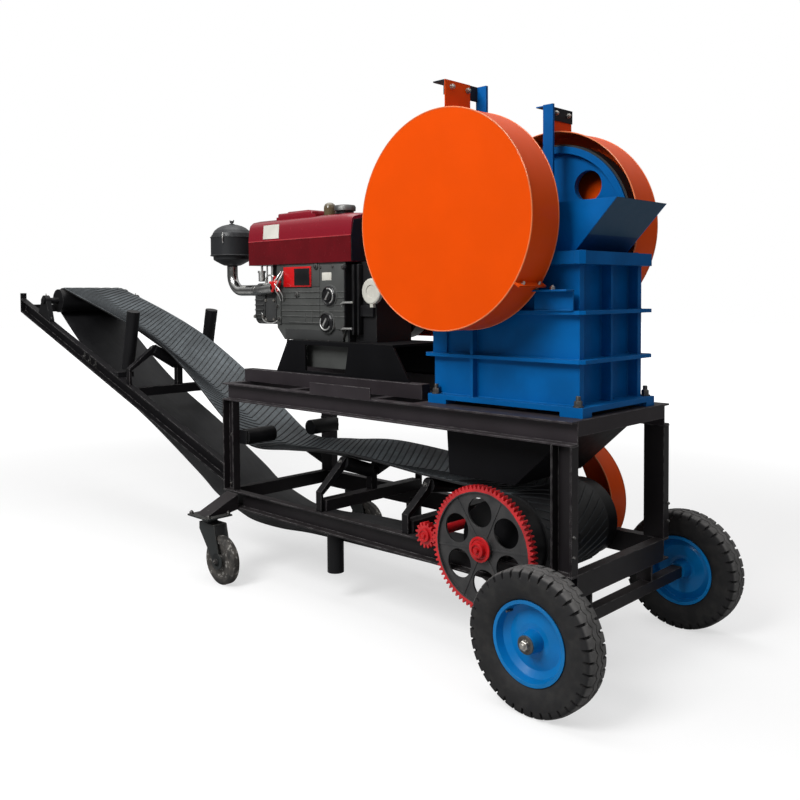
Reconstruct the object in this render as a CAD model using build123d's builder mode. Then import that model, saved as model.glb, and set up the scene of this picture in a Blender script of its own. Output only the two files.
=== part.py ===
"""Mobile diesel jaw crusher with a belt conveyor under it.

A wheeled steel chassis carries a welded jaw crusher at the feed end, a single-cylinder
diesel engine beside it, and a troughed belt conveyor that runs under both and climbs to
its discharge end. Millimetres, +Z up, +X towards the feed end, +Y towards the belt side.
The origin is on the ground, under the middle of the machine.
"""
import os
from math import acos, atan2, cos, degrees, hypot, pi, radians, sin, sqrt, tan

from build123d import *

# Chassis
feed_end_x = 2458.0
deck_length = 2377.0
deck_width = 732.0
deck_top_z = 1107.0
channel_depth = 100.0
channel_flange = 48.0
channel_web = 5.3
channel_lip = 8.5
lower_top_z = 483.0
end_beam_depth = 64.0
cross_beam_width = 48.0
rail_spacing = 430.0
rail_width = 60.0
rail_height = 73.0
rail_length = 1430.0
upstand_length = 450.0
upstand_height = 55.0
upstand_thick = 6.0
upstand_offset = 787.0

# Road wheels and axle
tyre_diameter = 567.0
tyre_width = 126.0
tyre_section = 128.0
rim_lip_diameter = 330.0
rim_sheet = 5.0
tyre_clearance = 85.5
axle_setback = 30.0
axle_bar = 50.0
spindle_diameter = 40.0
hub_diameter = 92.0
hub_length = 120.0
bearing_gap = 0.3
hanger_thick = 12.0

# Swivelling casters
caster_wheel_diameter = 270.0
caster_wheel_width = 62.0
caster_trail = 120.0
caster_setback = 2290.0
caster_spread = 1132.0
caster_plate_top_z = 372.0
caster_plate = 110.0
caster_plate_thick = 8.0
caster_fork_thick = 7.0
caster_fork_gap = 5.0
kingpin_diameter = 24.0

# Conveyor
belt_width = 500.0
belt_thick = 10.0
belt_running_gap = 0.5
tail_drum_side_gap = 15.7
head_drum_length = 580.0
tail_drum_radius = 190.0
head_drum_radius = 90.0
tail_setback = 417.0
drive_axis_z = 527.0
head_inset = 420.0
head_rise = 180.6
drum_shaft_diameter = 50.0
conveyor_slope = 19.2
conveyor_join_z = 578.0
conveyor_length = 2793.0
tip_plate_height = 150.0
rear_station_share = 0.485
middle_station_setback = 1578.0
front_station_setback = 958.0
station_beam_width = 63.0
station_beam_height = 60.0
idler_radius = 38.0
idler_length = 205.0
guide_post_radius = 44.0
guide_post_height = 430.0
guide_lean = 13.0
guide_spread = 635.0

# Final drive: ring gear on the tail drum shaft and its pinion
gear_module = 7.0
gear_teeth = 76
pinion_teeth = 15
gear_face = 32.0
gear_plane = 446.0
gear_rim_depth = 16.0
gear_web_thick = 10.0
gear_hub_diameter = 110.0
gear_hub_proud = 6.0
web_hole_radius = 64.0
backlash = 0.5
countershaft_diameter = 45.0
countershaft_pulley_radius = 230.0

# Crusher body
crusher_front_setback = 60.0
crusher_length = 793.0
crusher_half_width = 255.0
wall_thick = 32.0
end_recess = 50.0
base_lift = 20.0
base_flange_thick = 23.0
base_flange_reach = 42.0
rib_thick = 16.0
rib_reach = 40.0
lower_rib_z = 1327.0
upper_rib_z = 1530.0
top_flange_z = 1738.0
top_flange_height = 54.0
shaft_setback = 596.0
shaft_z = 1938.0
shaft_diameter = 110.0
flywheel_radius = 412.0
flywheel_width = 110.0
flywheel_inner_face = 360.0
flywheel_rim = 34.0
flywheel_web_thick = 36.0
flywheel_hole_radius = 76.0
flywheel_hole_circle = 268.0
bearing_housing_radius = 105.0
jaw_plate_thick = 42.0
jaw_rib_pitch = 40.0
mouth_gap = 205.0
discharge_gap = 55.0
hopper_plate = 6.0
hopper_top_z = 2005.0
hopper_reach = 198.0
hopper_half_width = 205.0

# Guards
guard_radius = 480.0
guard_sheet = 3.0
guard_inner_face = 323.0
guard_outer_face = 513.0
belt_guard_end_setback = 1700.0
belt_guard_bottom_z = 1381.0
lower_guard_radius = 338.0
lower_guard_setback = 632.0
lower_guard_z = 575.0
post_width = 57.0
post_thick = 14.0
hanger_rise = 123.0
angle_leg = 65.0
angle_thick = 6.0

# Engine
engine_near_y = -166.0
engine_far_y = 170.0
crank_setback = 1530.0
crank_z = 1560.0
crankcase_rear_setback = 2158.0
crankcase_front_setback = 1568.0
crankcase_bottom_z = 1362.0
crankcase_top_z = 1796.0
head_rear_setback = 2400.0
tank_rear_setback = 2413.0
tank_front_setback = 1513.0
tank_bottom_z = 1805.0
tank_height = 245.0
stand_top_z = 1350.0
stand_plate = 14.0
air_cleaner_gap = 118.0
air_cleaner_z = 1978.0
air_cleaner_radius = 132.0
air_pipe_radius = 33.0
engine_pulley_radius = 100.0
engine_flywheel_radius = 190.0

# Places that follow from the sizes above
deck_rear_x = feed_end_x - deck_length
half_deck = deck_width / 2
flange_tip = half_deck + channel_flange - channel_web
deck_bottom_z = deck_top_z - channel_depth
lower_bottom_z = lower_top_z - channel_depth
axle_x = feed_end_x - axle_setback
axle_z = tyre_diameter / 2
tail_x = feed_end_x - tail_setback
tail_drum_length = 2 * (half_deck - channel_web - tail_drum_side_gap)
gear_pitch_radius = gear_module * gear_teeth / 2
pinion_pitch_radius = gear_module * pinion_teeth / 2
pinion_x = tail_x - gear_pitch_radius - pinion_pitch_radius
crusher_front_x = feed_end_x - crusher_front_setback
crusher_rear_x = crusher_front_x - crusher_length
shaft_x = feed_end_x - shaft_setback
flywheel_outer_face = flywheel_inner_face + flywheel_width
crank_x = feed_end_x - crank_setback
caster_x = feed_end_x - caster_setback
caster_y = caster_spread / 2
caster_wheel_z = caster_wheel_diameter / 2
slope = tan(radians(conveyor_slope))
tip_x = deck_rear_x - conveyor_length
head_x = tip_x + head_inset
head_axis_z = conveyor_join_z + (deck_rear_x - head_x) * slope + head_rise
wheel_y = gear_plane + gear_face / 2 + gear_hub_proud + tyre_clearance + tyre_width / 2
rail_half_depth = channel_depth / 2 / cos(radians(conveyor_slope))

os.makedirs("parts", exist_ok=True)


def block(x_span, y_span, z_span, mode=Mode.ADD):
    """A rectangular bar between two values on each axis."""
    middle = [(low + high) / 2 for low, high in (x_span, y_span, z_span)]
    with Locations(tuple(middle)):
        Box(
            x_span[1] - x_span[0],
            y_span[1] - y_span[0],
            z_span[1] - z_span[0],
            mode=mode,
        )


def plate_along_y(points, y_span, mode=Mode.ADD):
    """An (x, z) outline given a thickness across the machine."""
    with BuildSketch(Plane.XZ.offset(-y_span[1])) as outline:
        with BuildLine():
            Polyline(*points, close=True)
        make_face()
    extrude(outline.sketch, amount=y_span[1] - y_span[0], mode=mode)


def plate_along_x(points, x_span, mode=Mode.ADD):
    """A (y, z) outline given a thickness along the machine."""
    with BuildSketch(Plane.YZ.offset(x_span[0])) as outline:
        with BuildLine():
            Polyline(*points, close=True)
        make_face()
    extrude(outline.sketch, amount=x_span[1] - x_span[0], mode=mode)


def disc_along_y(x, z, radius, y_span, mode=Mode.ADD):
    """A round bar or disc whose axis runs across the machine."""
    with BuildSketch(Plane.XZ.offset(-y_span[1])) as outline:
        with Locations((x, z)):
            Circle(radius)
    extrude(outline.sketch, amount=y_span[1] - y_span[0], mode=mode)


def ring_along_y(x, z, outer, inner, y_span):
    """A ring whose axis runs across the machine."""
    with BuildSketch(Plane.XZ.offset(-y_span[1])) as outline:
        with Locations((x, z)):
            Circle(outer)
            Circle(inner, mode=Mode.SUBTRACT)
    extrude(outline.sketch, amount=y_span[1] - y_span[0])


def post_along_z(x, y, radius, z_span, mode=Mode.ADD):
    """A round upright."""
    with BuildSketch(Plane.XY.offset(z_span[0])) as outline:
        with Locations((x, y)):
            Circle(radius)
    extrude(outline.sketch, amount=z_span[1] - z_span[0], mode=mode)


def channel_outline(side, web_y, z_low, z_high):
    """Section of a rolled channel with its flanges turned outward, in (y, z)."""
    inner = side * (web_y - channel_web)
    web = side * web_y
    tip = side * (web_y - channel_web + channel_flange)
    return [
        (inner, z_low),
        (tip, z_low),
        (tip, z_low + channel_lip),
        (web, z_low + channel_lip),
        (web, z_high - channel_lip),
        (tip, z_high - channel_lip),
        (tip, z_high),
        (inner, z_high),
    ]


def save(piece, label):
    """Name a finished piece and write it out."""
    piece.part.label = label
    export_step(piece.part, f"parts/{label}.step")


sides = {"near": -1, "far": 1}


def span_out(side, inner, outer):
    """A y range on one side of the machine, in rising order."""
    return tuple(sorted((side * inner, side * outer)))


# Chassis: two deck channels, two lower channels, legs and cross members
for name, side in sides.items():
    with BuildPart() as deck_beam:
        plate_along_x(
            channel_outline(side, half_deck, deck_bottom_z, deck_top_z),
            (deck_rear_x, feed_end_x),
        )
        if name == "near":
            block(
                (deck_rear_x + upstand_offset, deck_rear_x + upstand_offset + upstand_length),
                span_out(side, flange_tip - upstand_thick, flange_tip),
                (deck_top_z, deck_top_z + upstand_height),
            )
    save(deck_beam, f"{name}_deck_beam")

    with BuildPart() as lower_beam:
        plate_along_x(
            channel_outline(side, half_deck, lower_bottom_z, lower_top_z),
            (deck_rear_x, feed_end_x),
        )
    save(lower_beam, f"{name}_lower_beam")

inner_half = half_deck - channel_web
bearer_inner = 225.0
bearer_thick = 16.0
deck_cross_x = [deck_rear_x, deck_rear_x + 560, deck_rear_x + 1190, crusher_rear_x - 40]
with BuildPart() as deck_cross_beams:
    for x in deck_cross_x:
        block(
            (x, x + cross_beam_width),
            (-inner_half, inner_half),
            (deck_bottom_z, deck_top_z),
        )
    block(
        (feed_end_x - cross_beam_width, feed_end_x),
        (-inner_half, inner_half),
        (deck_top_z - end_beam_depth, deck_top_z),
    )
    for side in sides.values():
        block(
            (crusher_rear_x, feed_end_x - cross_beam_width),
            span_out(side, bearer_inner, inner_half),
            (deck_top_z - bearer_thick, deck_top_z),
        )
save(deck_cross_beams, "deck_cross_beams")

with BuildPart() as engine_rails:
    for side in sides.values():
        middle = side * rail_spacing / 2
        block(
            (deck_rear_x, deck_rear_x + rail_length),
            (middle - rail_width / 2, middle + rail_width / 2),
            (deck_top_z, deck_top_z + rail_height),
        )
save(engine_rails, "engine_rails")

leg_x = [deck_rear_x, feed_end_x - channel_depth]
with BuildPart() as legs:
    for side in sides.values():
        for x in leg_x:
            web = side * half_deck
            inner = side * inner_half
            tip = side * flange_tip
            with BuildSketch(Plane.XY.offset(lower_top_z)) as section:
                with BuildLine():
                    Polyline(
                        (x, inner),
                        (x, tip),
                        (x + channel_lip, tip),
                        (x + channel_lip, web),
                        (x + channel_depth - channel_lip, web),
                        (x + channel_depth - channel_lip, tip),
                        (x + channel_depth, tip),
                        (x + channel_depth, inner),
                        close=True,
                    )
                make_face()
            extrude(section.sketch, amount=deck_bottom_z - lower_top_z)
save(legs, "legs")

station_x = {
    "rear": deck_rear_x + rear_station_share * (head_x - deck_rear_x),
    "middle": feed_end_x - middle_station_setback,
    "front": feed_end_x - front_station_setback,
}
with BuildPart() as lower_cross_beams:
    block(
        (deck_rear_x, deck_rear_x + cross_beam_width),
        (-inner_half, inner_half),
        (lower_bottom_z + 25, lower_top_z),
    )
    block(
        (feed_end_x - cross_beam_width, feed_end_x),
        (-inner_half, inner_half),
        (lower_bottom_z, lower_top_z),
    )
    for x in (station_x["middle"], station_x["front"]):
        block(
            (x, x + station_beam_width),
            (-half_deck, half_deck),
            (lower_top_z, lower_top_z + station_beam_height),
        )
save(lower_cross_beams, "lower_cross_beams")

# Axle bar on two hanger plates under the feed end, with a turned spindle at each end
hub_inner_y = wheel_y - hub_length / 2
hub_outer_y = wheel_y + hub_length / 2
collar_y = hub_inner_y - 2 * bearing_gap
with BuildPart() as axle:
    block(
        (axle_x - axle_bar / 2, axle_x + axle_bar / 2),
        (-collar_y, collar_y),
        (axle_z - axle_bar / 2, axle_z + axle_bar / 2),
    )
    for side in sides.values():
        disc_along_y(
            axle_x,
            axle_z,
            spindle_diameter / 2,
            span_out(side, collar_y - 10, hub_outer_y + 8),
        )
        block(
            (axle_x - 45, axle_x + 29),
            span_out(side, inner_half - 110, inner_half - 110 + hanger_thick),
            (axle_z + axle_bar / 2, lower_bottom_z),
        )
save(axle, "axle")

# Road wheels: a blue pressed rim with a turned hub, and a pneumatic tyre on it
bead_radius = tyre_diameter / 2 - tyre_section
lip_radius = rim_lip_diameter / 2
half_tyre = tyre_width / 2
rim_half = half_tyre - 14
for name, side in sides.items():
    wheel_plane = Plane(
        origin=(axle_x, side * wheel_y, axle_z), x_dir=(0, side, 0), z_dir=(1, 0, 0)
    )
    with BuildPart() as rim:
        with BuildSketch(wheel_plane) as rim_section:
            with BuildLine():
                Polyline(
                    (-rim_half, bead_radius - rim_sheet),
                    (-rim_half, lip_radius),
                    (-rim_half + rim_sheet, lip_radius),
                    (-rim_half + rim_sheet, bead_radius - 0.5),
                    (rim_half - rim_sheet, bead_radius - 0.5),
                    (rim_half - rim_sheet, lip_radius),
                    (rim_half, lip_radius),
                    (rim_half, bead_radius - rim_sheet),
                    (14, bead_radius - rim_sheet - 8),
                    (-2, bead_radius - rim_sheet - 34),
                    (8, hub_diameter / 2 + 22),
                    (8, hub_diameter / 2),
                    (hub_length / 2, hub_diameter / 2 - 8),
                    (hub_length / 2, spindle_diameter / 2 + bearing_gap),
                    (-hub_length / 2, spindle_diameter / 2 + bearing_gap),
                    (-hub_length / 2, hub_diameter / 2 - 8),
                    (-2, hub_diameter / 2),
                    (-2, hub_diameter / 2 + 18),
                    (-12, bead_radius - rim_sheet - 36),
                    (4, bead_radius - rim_sheet - 4),
                    (4, bead_radius - rim_sheet),
                    close=True,
                )
            make_face()
        revolve(
            rim_section.sketch,
            axis=Axis((axle_x, 0, axle_z), (0, 1, 0)),
            revolution_arc=360,
        )
    save(rim, f"{name}_wheel_rim")

    with BuildPart() as tyre:
        with BuildSketch(wheel_plane) as tyre_outline:
            with BuildLine():
                bead_left = (-rim_half + rim_sheet + 0.5, bead_radius)
                bead_right = (rim_half - rim_sheet - 0.5, bead_radius)
                shoulder = tyre_diameter / 2 - 22
                waist = bead_radius + 0.5 * tyre_section
                tread_half = half_tyre - 12
                lip_right = (bead_right[0], lip_radius + 0.5)
                lip_left = (bead_left[0], lip_radius + 0.5)
                Polyline(lip_left, bead_left, bead_right, lip_right)
                ThreePointArc(lip_right, (half_tyre, waist), (half_tyre - 4, shoulder))
                Line((half_tyre - 4, shoulder), (tread_half, tyre_diameter / 2 - 4))
                ThreePointArc(
                    (tread_half, tyre_diameter / 2 - 4),
                    (0, tyre_diameter / 2),
                    (-tread_half, tyre_diameter / 2 - 4),
                )
                Line((-tread_half, tyre_diameter / 2 - 4), (-half_tyre + 4, shoulder))
                ThreePointArc((-half_tyre + 4, shoulder), (-half_tyre, waist), lip_left)
            make_face()
        revolve(
            tyre_outline.sketch,
            axis=Axis((axle_x, 0, axle_z), (0, 1, 0)),
            revolution_arc=360,
        )
    save(tyre, f"{name}_tyre")

# Casters: an outrigger arm, a swivelling fork and a solid wheel on each side
caster_wheel_x = caster_x + caster_trail
fork_inner = caster_wheel_width / 2 + caster_fork_gap
fork_outer = fork_inner + caster_fork_thick
swivel_gap = 0.5
head_depth = 30.0
caster_plate_bottom_z = caster_plate_top_z - caster_plate_thick
fork_top_z = caster_plate_bottom_z - swivel_gap
with BuildPart() as caster_arms:
    for side in sides.values():
        plate_along_x(
            [
                (side * flange_tip, lower_top_z - 12),
                (side * (caster_y + caster_plate / 2), caster_plate_top_z + 4),
                (side * (caster_y + caster_plate / 2), caster_plate_bottom_z),
                (side * (caster_y - caster_plate / 2), caster_plate_bottom_z),
                (side * flange_tip, lower_bottom_z),
            ],
            (caster_x - caster_plate / 2, caster_x + caster_plate / 2),
        )
        post_along_z(
            caster_x,
            side * caster_y,
            kingpin_diameter / 2,
            (fork_top_z - head_depth, caster_plate_top_z + 26),
        )
save(caster_arms, "caster_arms")

for name, side in sides.items():
    y = side * caster_y
    with BuildPart() as fork:
        post_along_z(caster_x, y, 44, (fork_top_z - head_depth, fork_top_z))
        post_along_z(
            caster_x,
            y,
            kingpin_diameter / 2 + bearing_gap,
            (fork_top_z - head_depth, fork_top_z),
            mode=Mode.SUBTRACT,
        )
        crown_z = fork_top_z - head_depth
        block(
            (caster_x - 44, caster_wheel_x - 20),
            (y - fork_outer, y + fork_outer),
            (crown_z - caster_fork_thick, crown_z),
        )
        for cheek in (-1, 1):
            plate_along_y(
                [
                    (caster_x - 44, crown_z),
                    (caster_wheel_x - 20, crown_z),
                    (caster_wheel_x + 28, caster_wheel_z),
                    (caster_wheel_x + 20, caster_wheel_z - 26),
                    (caster_wheel_x - 20, caster_wheel_z - 26),
                    (caster_x - 44, crown_z - 40),
                ],
                tuple(sorted((y + cheek * fork_inner, y + cheek * fork_outer))),
            )
        disc_along_y(caster_wheel_x, caster_wheel_z, 10, (y - fork_outer - 8, y + fork_outer + 8))
    save(fork, f"{name}_caster_fork")

    with BuildPart() as caster_wheel:
        wheel_section_plane = Plane(
            origin=(caster_wheel_x, y, caster_wheel_z), x_dir=(0, 1, 0), z_dir=(1, 0, 0)
        )
        with BuildSketch(wheel_section_plane) as caster_section:
            with BuildLine():
                half = caster_wheel_width / 2
                radius = caster_wheel_diameter / 2
                Polyline(
                    (-half, 10 + bearing_gap),
                    (-half, 34),
                    (-half + 14, 40),
                    (-half + 14, radius - 46),
                    (-half + 2, radius - 36),
                    (-half + 2, radius - 16),
                    (-half + 14, radius),
                    (half - 14, radius),
                    (half - 2, radius - 16),
                    (half - 2, radius - 36),
                    (half - 14, radius - 46),
                    (half - 14, 40),
                    (half, 34),
                    (half, 10 + bearing_gap),
                    close=True,
                )
            make_face()
        revolve(
            caster_section.sketch,
            axis=Axis((caster_wheel_x, 0, caster_wheel_z), (0, 1, 0)),
            revolution_arc=360,
        )
    save(caster_wheel, f"{name}_caster_wheel")

# Conveyor rails: two sloping channels that butt against the rear legs
def rail_z(x):
    """Height of a sloping rail's centre line."""
    return conveyor_join_z + (deck_rear_x - x) * slope


for name, side in sides.items():
    with BuildPart() as rail:
        z_join = rail_z(deck_rear_x)
        z_tip = rail_z(tip_x)
        web_span = span_out(side, inner_half, half_deck)
        plate_along_y(
            [
                (deck_rear_x, z_join - rail_half_depth),
                (deck_rear_x, z_join + rail_half_depth),
                (tip_x, z_tip + rail_half_depth),
                (tip_x, z_tip - rail_half_depth),
            ],
            web_span,
        )
        for edge in (-1, 1):
            outer_edge = edge * rail_half_depth
            inner_edge = edge * (rail_half_depth - channel_lip)
            plate_along_y(
                [
                    (deck_rear_x, z_join + inner_edge),
                    (deck_rear_x, z_join + outer_edge),
                    (tip_x, z_tip + outer_edge),
                    (tip_x, z_tip + inner_edge),
                ],
                span_out(side, inner_half, flange_tip),
            )
        block(
            (tip_x, tip_x + 8),
            span_out(side, inner_half, flange_tip),
            (z_tip - rail_half_depth, z_tip - rail_half_depth + tip_plate_height),
        )
    save(rail, f"{name}_conveyor_rail")

with BuildPart() as conveyor_cross_beams:
    for x in (station_x["rear"], tip_x + 30):
        block(
            (x, x + station_beam_width),
            (-inner_half, inner_half),
            (rail_z(x) - 45, rail_z(x) + 15),
        )
save(conveyor_cross_beams, "conveyor_cross_beams")

# Conveyor belt: a troughed carrying run, a slack return run and a wrap round each drum
half_belt = belt_width / 2
tail_wrap = tail_drum_radius + belt_running_gap
head_wrap = head_drum_radius + belt_running_gap
leave_angle = radians(17.0)
return_angle = radians(37.0)


def belt_section(x, z, trough, tilt=0.0):
    """A closed section of the belt whose two wings rise by the trough angle."""
    wing_y = half_belt * cos(radians(trough))
    wing_z = half_belt * sin(radians(trough))
    plane = Plane(origin=(x, 0, z), x_dir=(0, 1, 0), z_dir=(cos(tilt), 0, -sin(tilt)))
    corners = [
        (-wing_y, wing_z),
        (0, 0),
        (wing_y, wing_z),
        (wing_y, wing_z + belt_thick),
        (0, belt_thick),
        (-wing_y, wing_z + belt_thick),
    ]
    # A plain wire keeps the crease point where the belt lies flat
    return Face(Wire.make_polygon([plane.from_local_coords(corner) for corner in corners]))


def incline_point(share, above_rail):
    """A point over the sloping rails, at a share of the way from the deck to the head drum."""
    x = deck_rear_x + share * (head_x - deck_rear_x)
    return (x, rail_z(x) + above_rail)


station_floor = {
    "rear": rail_z(station_x["rear"]) + 15,
    "middle": lower_top_z + station_beam_height,
    "front": lower_top_z + station_beam_height,
}
station_rise = {"rear": 196.0, "middle": 147.0, "front": 159.0}
troughs = {"rear": 31.0, "middle": 19.0, "front": 8.0}
station_belt = {name: station_floor[name] + rise for name, rise in station_rise.items()}


def station_place(name):
    """Where the belt lies on a station's rollers, and how far it is troughed."""
    return (station_x[name] + station_beam_width / 2, station_belt[name], troughs[name])


leg_belt_z = 702.0
carry_run = [
    station_place("front"),
    station_place("middle"),
    (deck_rear_x + 427, leg_belt_z, 8.0),
    (deck_rear_x + 47, leg_belt_z + 2, 4.0),
    (*incline_point(0.111, 150.0), 12.0),
    (*incline_point(0.288, 186.0), 26.0),
    station_place("rear"),
    (*incline_point(0.684, 257.0), 18.0),
]
carry_head = (
    head_x + head_wrap * sin(leave_angle),
    head_axis_z + head_wrap * cos(leave_angle),
)
with BuildPart() as conveyor_belt:
    sections = [belt_section(tail_x, drive_axis_z + tail_wrap, 0.0)]
    sections += [belt_section(*place) for place in carry_run]
    sections.append(belt_section(*carry_head, 0.0, leave_angle))
    loft(sections, ruled=True)
    for x, z, radius, start, turn in (
        (tail_x, drive_axis_z, tail_wrap, -90.0, 180.0),
        (
            head_x,
            head_axis_z,
            head_wrap,
            90.0 - degrees(leave_angle),
            180.0 + degrees(leave_angle) - degrees(return_angle),
        ),
    ):
        with BuildSketch(Plane.XZ.offset(-half_belt)) as wrap:
            with BuildLine():
                inner_arc = CenterArc((x, z), radius, start, turn)
                outer_arc = CenterArc((x, z), radius + belt_thick, start, turn)
                Line(inner_arc @ 0, outer_arc @ 0)
                Line(inner_arc @ 1, outer_arc @ 1)
            make_face()
        extrude(wrap.sketch, amount=belt_width)
    slack_z = 286.0
    return_top = [
        (
            head_x - head_wrap * sin(return_angle),
            head_axis_z - head_wrap * cos(return_angle),
        ),
        incline_point(0.877, -53.0),
        incline_point(0.667, -212.0),
        incline_point(0.422, -259.0),
        incline_point(0.207, -303.0),
        incline_point(0.124, -320.0),
        (deck_rear_x - 55, slack_z + 22),
        (deck_rear_x + 97, slack_z),
        (deck_rear_x + 343, slack_z),
        (deck_rear_x + 612, slack_z + 21),
        (deck_rear_x + 1027, slack_z + 32),
        (tail_x, drive_axis_z - tail_wrap),
    ]
    below = [(x, z - belt_thick) for x, z in return_top]
    below[0] = (
        head_x - (head_wrap + belt_thick) * sin(return_angle),
        head_axis_z - (head_wrap + belt_thick) * cos(return_angle),
    )
    plate_along_y(return_top + below[::-1], (-half_belt, half_belt))
save(conveyor_belt, "conveyor_belt")

# Drums: the tail drum turns with the ring gear, the head drum turns in take-up bearings
bearing_y = half_deck - channel_web + channel_flange / 2
bearing_half = 19.0
bearing_wall = 18.0
shaft_radius = drum_shaft_diameter / 2
with BuildPart() as tail_drum:
    disc_along_y(tail_x, drive_axis_z, tail_drum_radius, (-tail_drum_length / 2, tail_drum_length / 2))
    disc_along_y(
        tail_x,
        drive_axis_z,
        shaft_radius,
        (-gear_plane - gear_face / 2 - gear_hub_proud, bearing_y + bearing_half + 12),
    )
save(tail_drum, "tail_drum")

with BuildPart() as head_drum:
    disc_along_y(
        head_x, head_axis_z, head_drum_radius, (-head_drum_length / 2, head_drum_length / 2)
    )
    for side in sides.values():
        disc_along_y(
            head_x,
            head_axis_z,
            shaft_radius,
            span_out(side, head_drum_length / 2, bearing_y + bearing_half + 12),
        )
save(head_drum, "head_drum")


def bearing_block(x, y, axis_z, seat_left, seat_right, bore):
    """A pillow block: a round housing on a foot that follows its seat."""
    ring = bore + bearing_wall
    span = (y - bearing_half, y + bearing_half)
    left, right = x - 2.2 * ring, x + 2.2 * ring
    drop = (seat_right - seat_left) / (right - left)

    def seat(at):
        return seat_left + (at - left) * drop

    plate_along_y(
        [
            (left, seat(left)),
            (right, seat(right)),
            (right, seat(right) + 14),
            (x + ring, axis_z),
            (x - ring, axis_z),
            (left, seat(left) + 14),
        ],
        span,
    )
    disc_along_y(x, axis_z, ring, span)
    disc_along_y(x, axis_z, bore + bearing_gap, span, mode=Mode.SUBTRACT)


countershaft_radius = countershaft_diameter / 2
with BuildPart() as tail_bearings:
    for side in sides.values():
        bearing_block(
            tail_x, side * bearing_y, drive_axis_z, lower_top_z, lower_top_z, shaft_radius
        )
save(tail_bearings, "tail_bearings")

with BuildPart() as countershaft_bearings:
    for side in sides.values():
        bearing_block(
            pinion_x,
            side * bearing_y,
            drive_axis_z,
            lower_top_z,
            lower_top_z,
            countershaft_radius,
        )
save(countershaft_bearings, "countershaft_bearings")

with BuildPart() as head_bearings:
    for side in sides.values():
        reach = 2.2 * (shaft_radius + bearing_wall)
        bearing_block(
            head_x,
            side * bearing_y,
            head_axis_z,
            rail_z(head_x - reach) + rail_half_depth,
            rail_z(head_x + reach) + rail_half_depth,
            shaft_radius,
        )
save(head_bearings, "head_bearings")

# Final drive: involute teeth cut on the ring gear and its pinion
pressure_angle = radians(20.0)


def gear_outline(teeth, first_angle):
    """Draw a spur gear's teeth on the current sketch, with the backlash taken off each flank."""
    pitch_radius = gear_module * teeth / 2
    base_radius = pitch_radius * cos(pressure_angle)
    root_radius = pitch_radius - 1.25 * gear_module
    tip_radius = pitch_radius + gear_module
    involute_at_pitch = tan(pressure_angle) - pressure_angle
    half_tooth = pi / (2 * teeth) - backlash / 2 / pitch_radius

    def flank_angle(radius):
        pressure = acos(min(1.0, base_radius / radius))
        return half_tooth + involute_at_pitch - (tan(pressure) - pressure)

    low = max(base_radius, root_radius + 0.1)
    stations = [low, (low + pitch_radius) / 2, pitch_radius, (pitch_radius + tip_radius) / 2, tip_radius]
    flank = [(radius * cos(flank_angle(radius)), radius * sin(flank_angle(radius))) for radius in stations]
    foot = ((root_radius - 1.0) * cos(flank_angle(low)), (root_radius - 1.0) * sin(flank_angle(low)))
    right = [foot] + flank
    left = [(across, -up) for across, up in right]
    Circle(root_radius)
    with PolarLocations(0, teeth, start_angle=first_angle):
        Polygon(*(left + right[::-1]), align=None)


def gear_plane_at(x, y):
    """A sketch plane across the machine, centred on a drive shaft."""
    return Plane(origin=(x, y, drive_axis_z), x_dir=(1, 0, 0), z_dir=(0, -1, 0))


gear_span = (-gear_plane - gear_face / 2, -gear_plane + gear_face / 2)
web_span = (-gear_plane - gear_web_thick / 2, -gear_plane + gear_web_thick / 2)
gear_root = gear_pitch_radius - 1.25 * gear_module
with BuildPart() as drive_gear:
    with BuildSketch(gear_plane_at(tail_x, gear_span[1])) as gear_teeth_sketch:
        gear_outline(gear_teeth, 180.0 / gear_teeth)
        Circle(gear_root - gear_rim_depth, mode=Mode.SUBTRACT)
    extrude(gear_teeth_sketch.sketch, amount=gear_face)
    disc_along_y(tail_x, drive_axis_z, gear_root - gear_rim_depth, web_span)
    disc_along_y(
        tail_x,
        drive_axis_z,
        gear_hub_diameter / 2,
        (-gear_plane - gear_face / 2 - gear_hub_proud, -gear_plane + gear_face / 2),
    )
    with BuildSketch(Plane.XZ.offset(-gear_span[1])) as spokes:
        with Locations((tail_x, drive_axis_z)):
            with PolarLocations(0, 6, start_angle=5):
                with Locations((gear_root / 2, 0)):
                    Rectangle(gear_root - gear_rim_depth, 9)
    extrude(spokes.sketch, amount=gear_face - 8)
    with BuildSketch(Plane.XZ.offset(-gear_span[1])) as web_holes:
        with Locations((tail_x, drive_axis_z)):
            with PolarLocations(gear_root * 0.6, 6, start_angle=35):
                Circle(web_hole_radius)
    extrude(web_holes.sketch, amount=gear_face, mode=Mode.SUBTRACT)
    disc_along_y(
        tail_x,
        drive_axis_z,
        shaft_radius,
        (-gear_plane - gear_face, -gear_plane + gear_face),
        mode=Mode.SUBTRACT,
    )
save(drive_gear, "drive_gear")

pulley_span = (450.0, 530.0)
with BuildPart() as pinion_shaft:
    with BuildSketch(gear_plane_at(pinion_x, gear_span[1])) as pinion_sketch:
        gear_outline(pinion_teeth, 0.0)
    extrude(pinion_sketch.sketch, amount=gear_face)
    disc_along_y(
        pinion_x, drive_axis_z, countershaft_radius, (gear_span[0] - 8, pulley_span[1] + 12)
    )
save(pinion_shaft, "pinion_shaft")

with BuildPart() as countershaft_pulley:
    ring_along_y(
        pinion_x, drive_axis_z, countershaft_pulley_radius, countershaft_pulley_radius - 26, pulley_span
    )
    middle = sum(pulley_span) / 2
    ring_along_y(
        pinion_x,
        drive_axis_z,
        countershaft_pulley_radius - 26,
        countershaft_radius,
        (middle - 9, middle + 9),
    )
    ring_along_y(pinion_x, drive_axis_z, countershaft_radius + 24, countershaft_radius, pulley_span)
save(countershaft_pulley, "countershaft_pulley")

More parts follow.
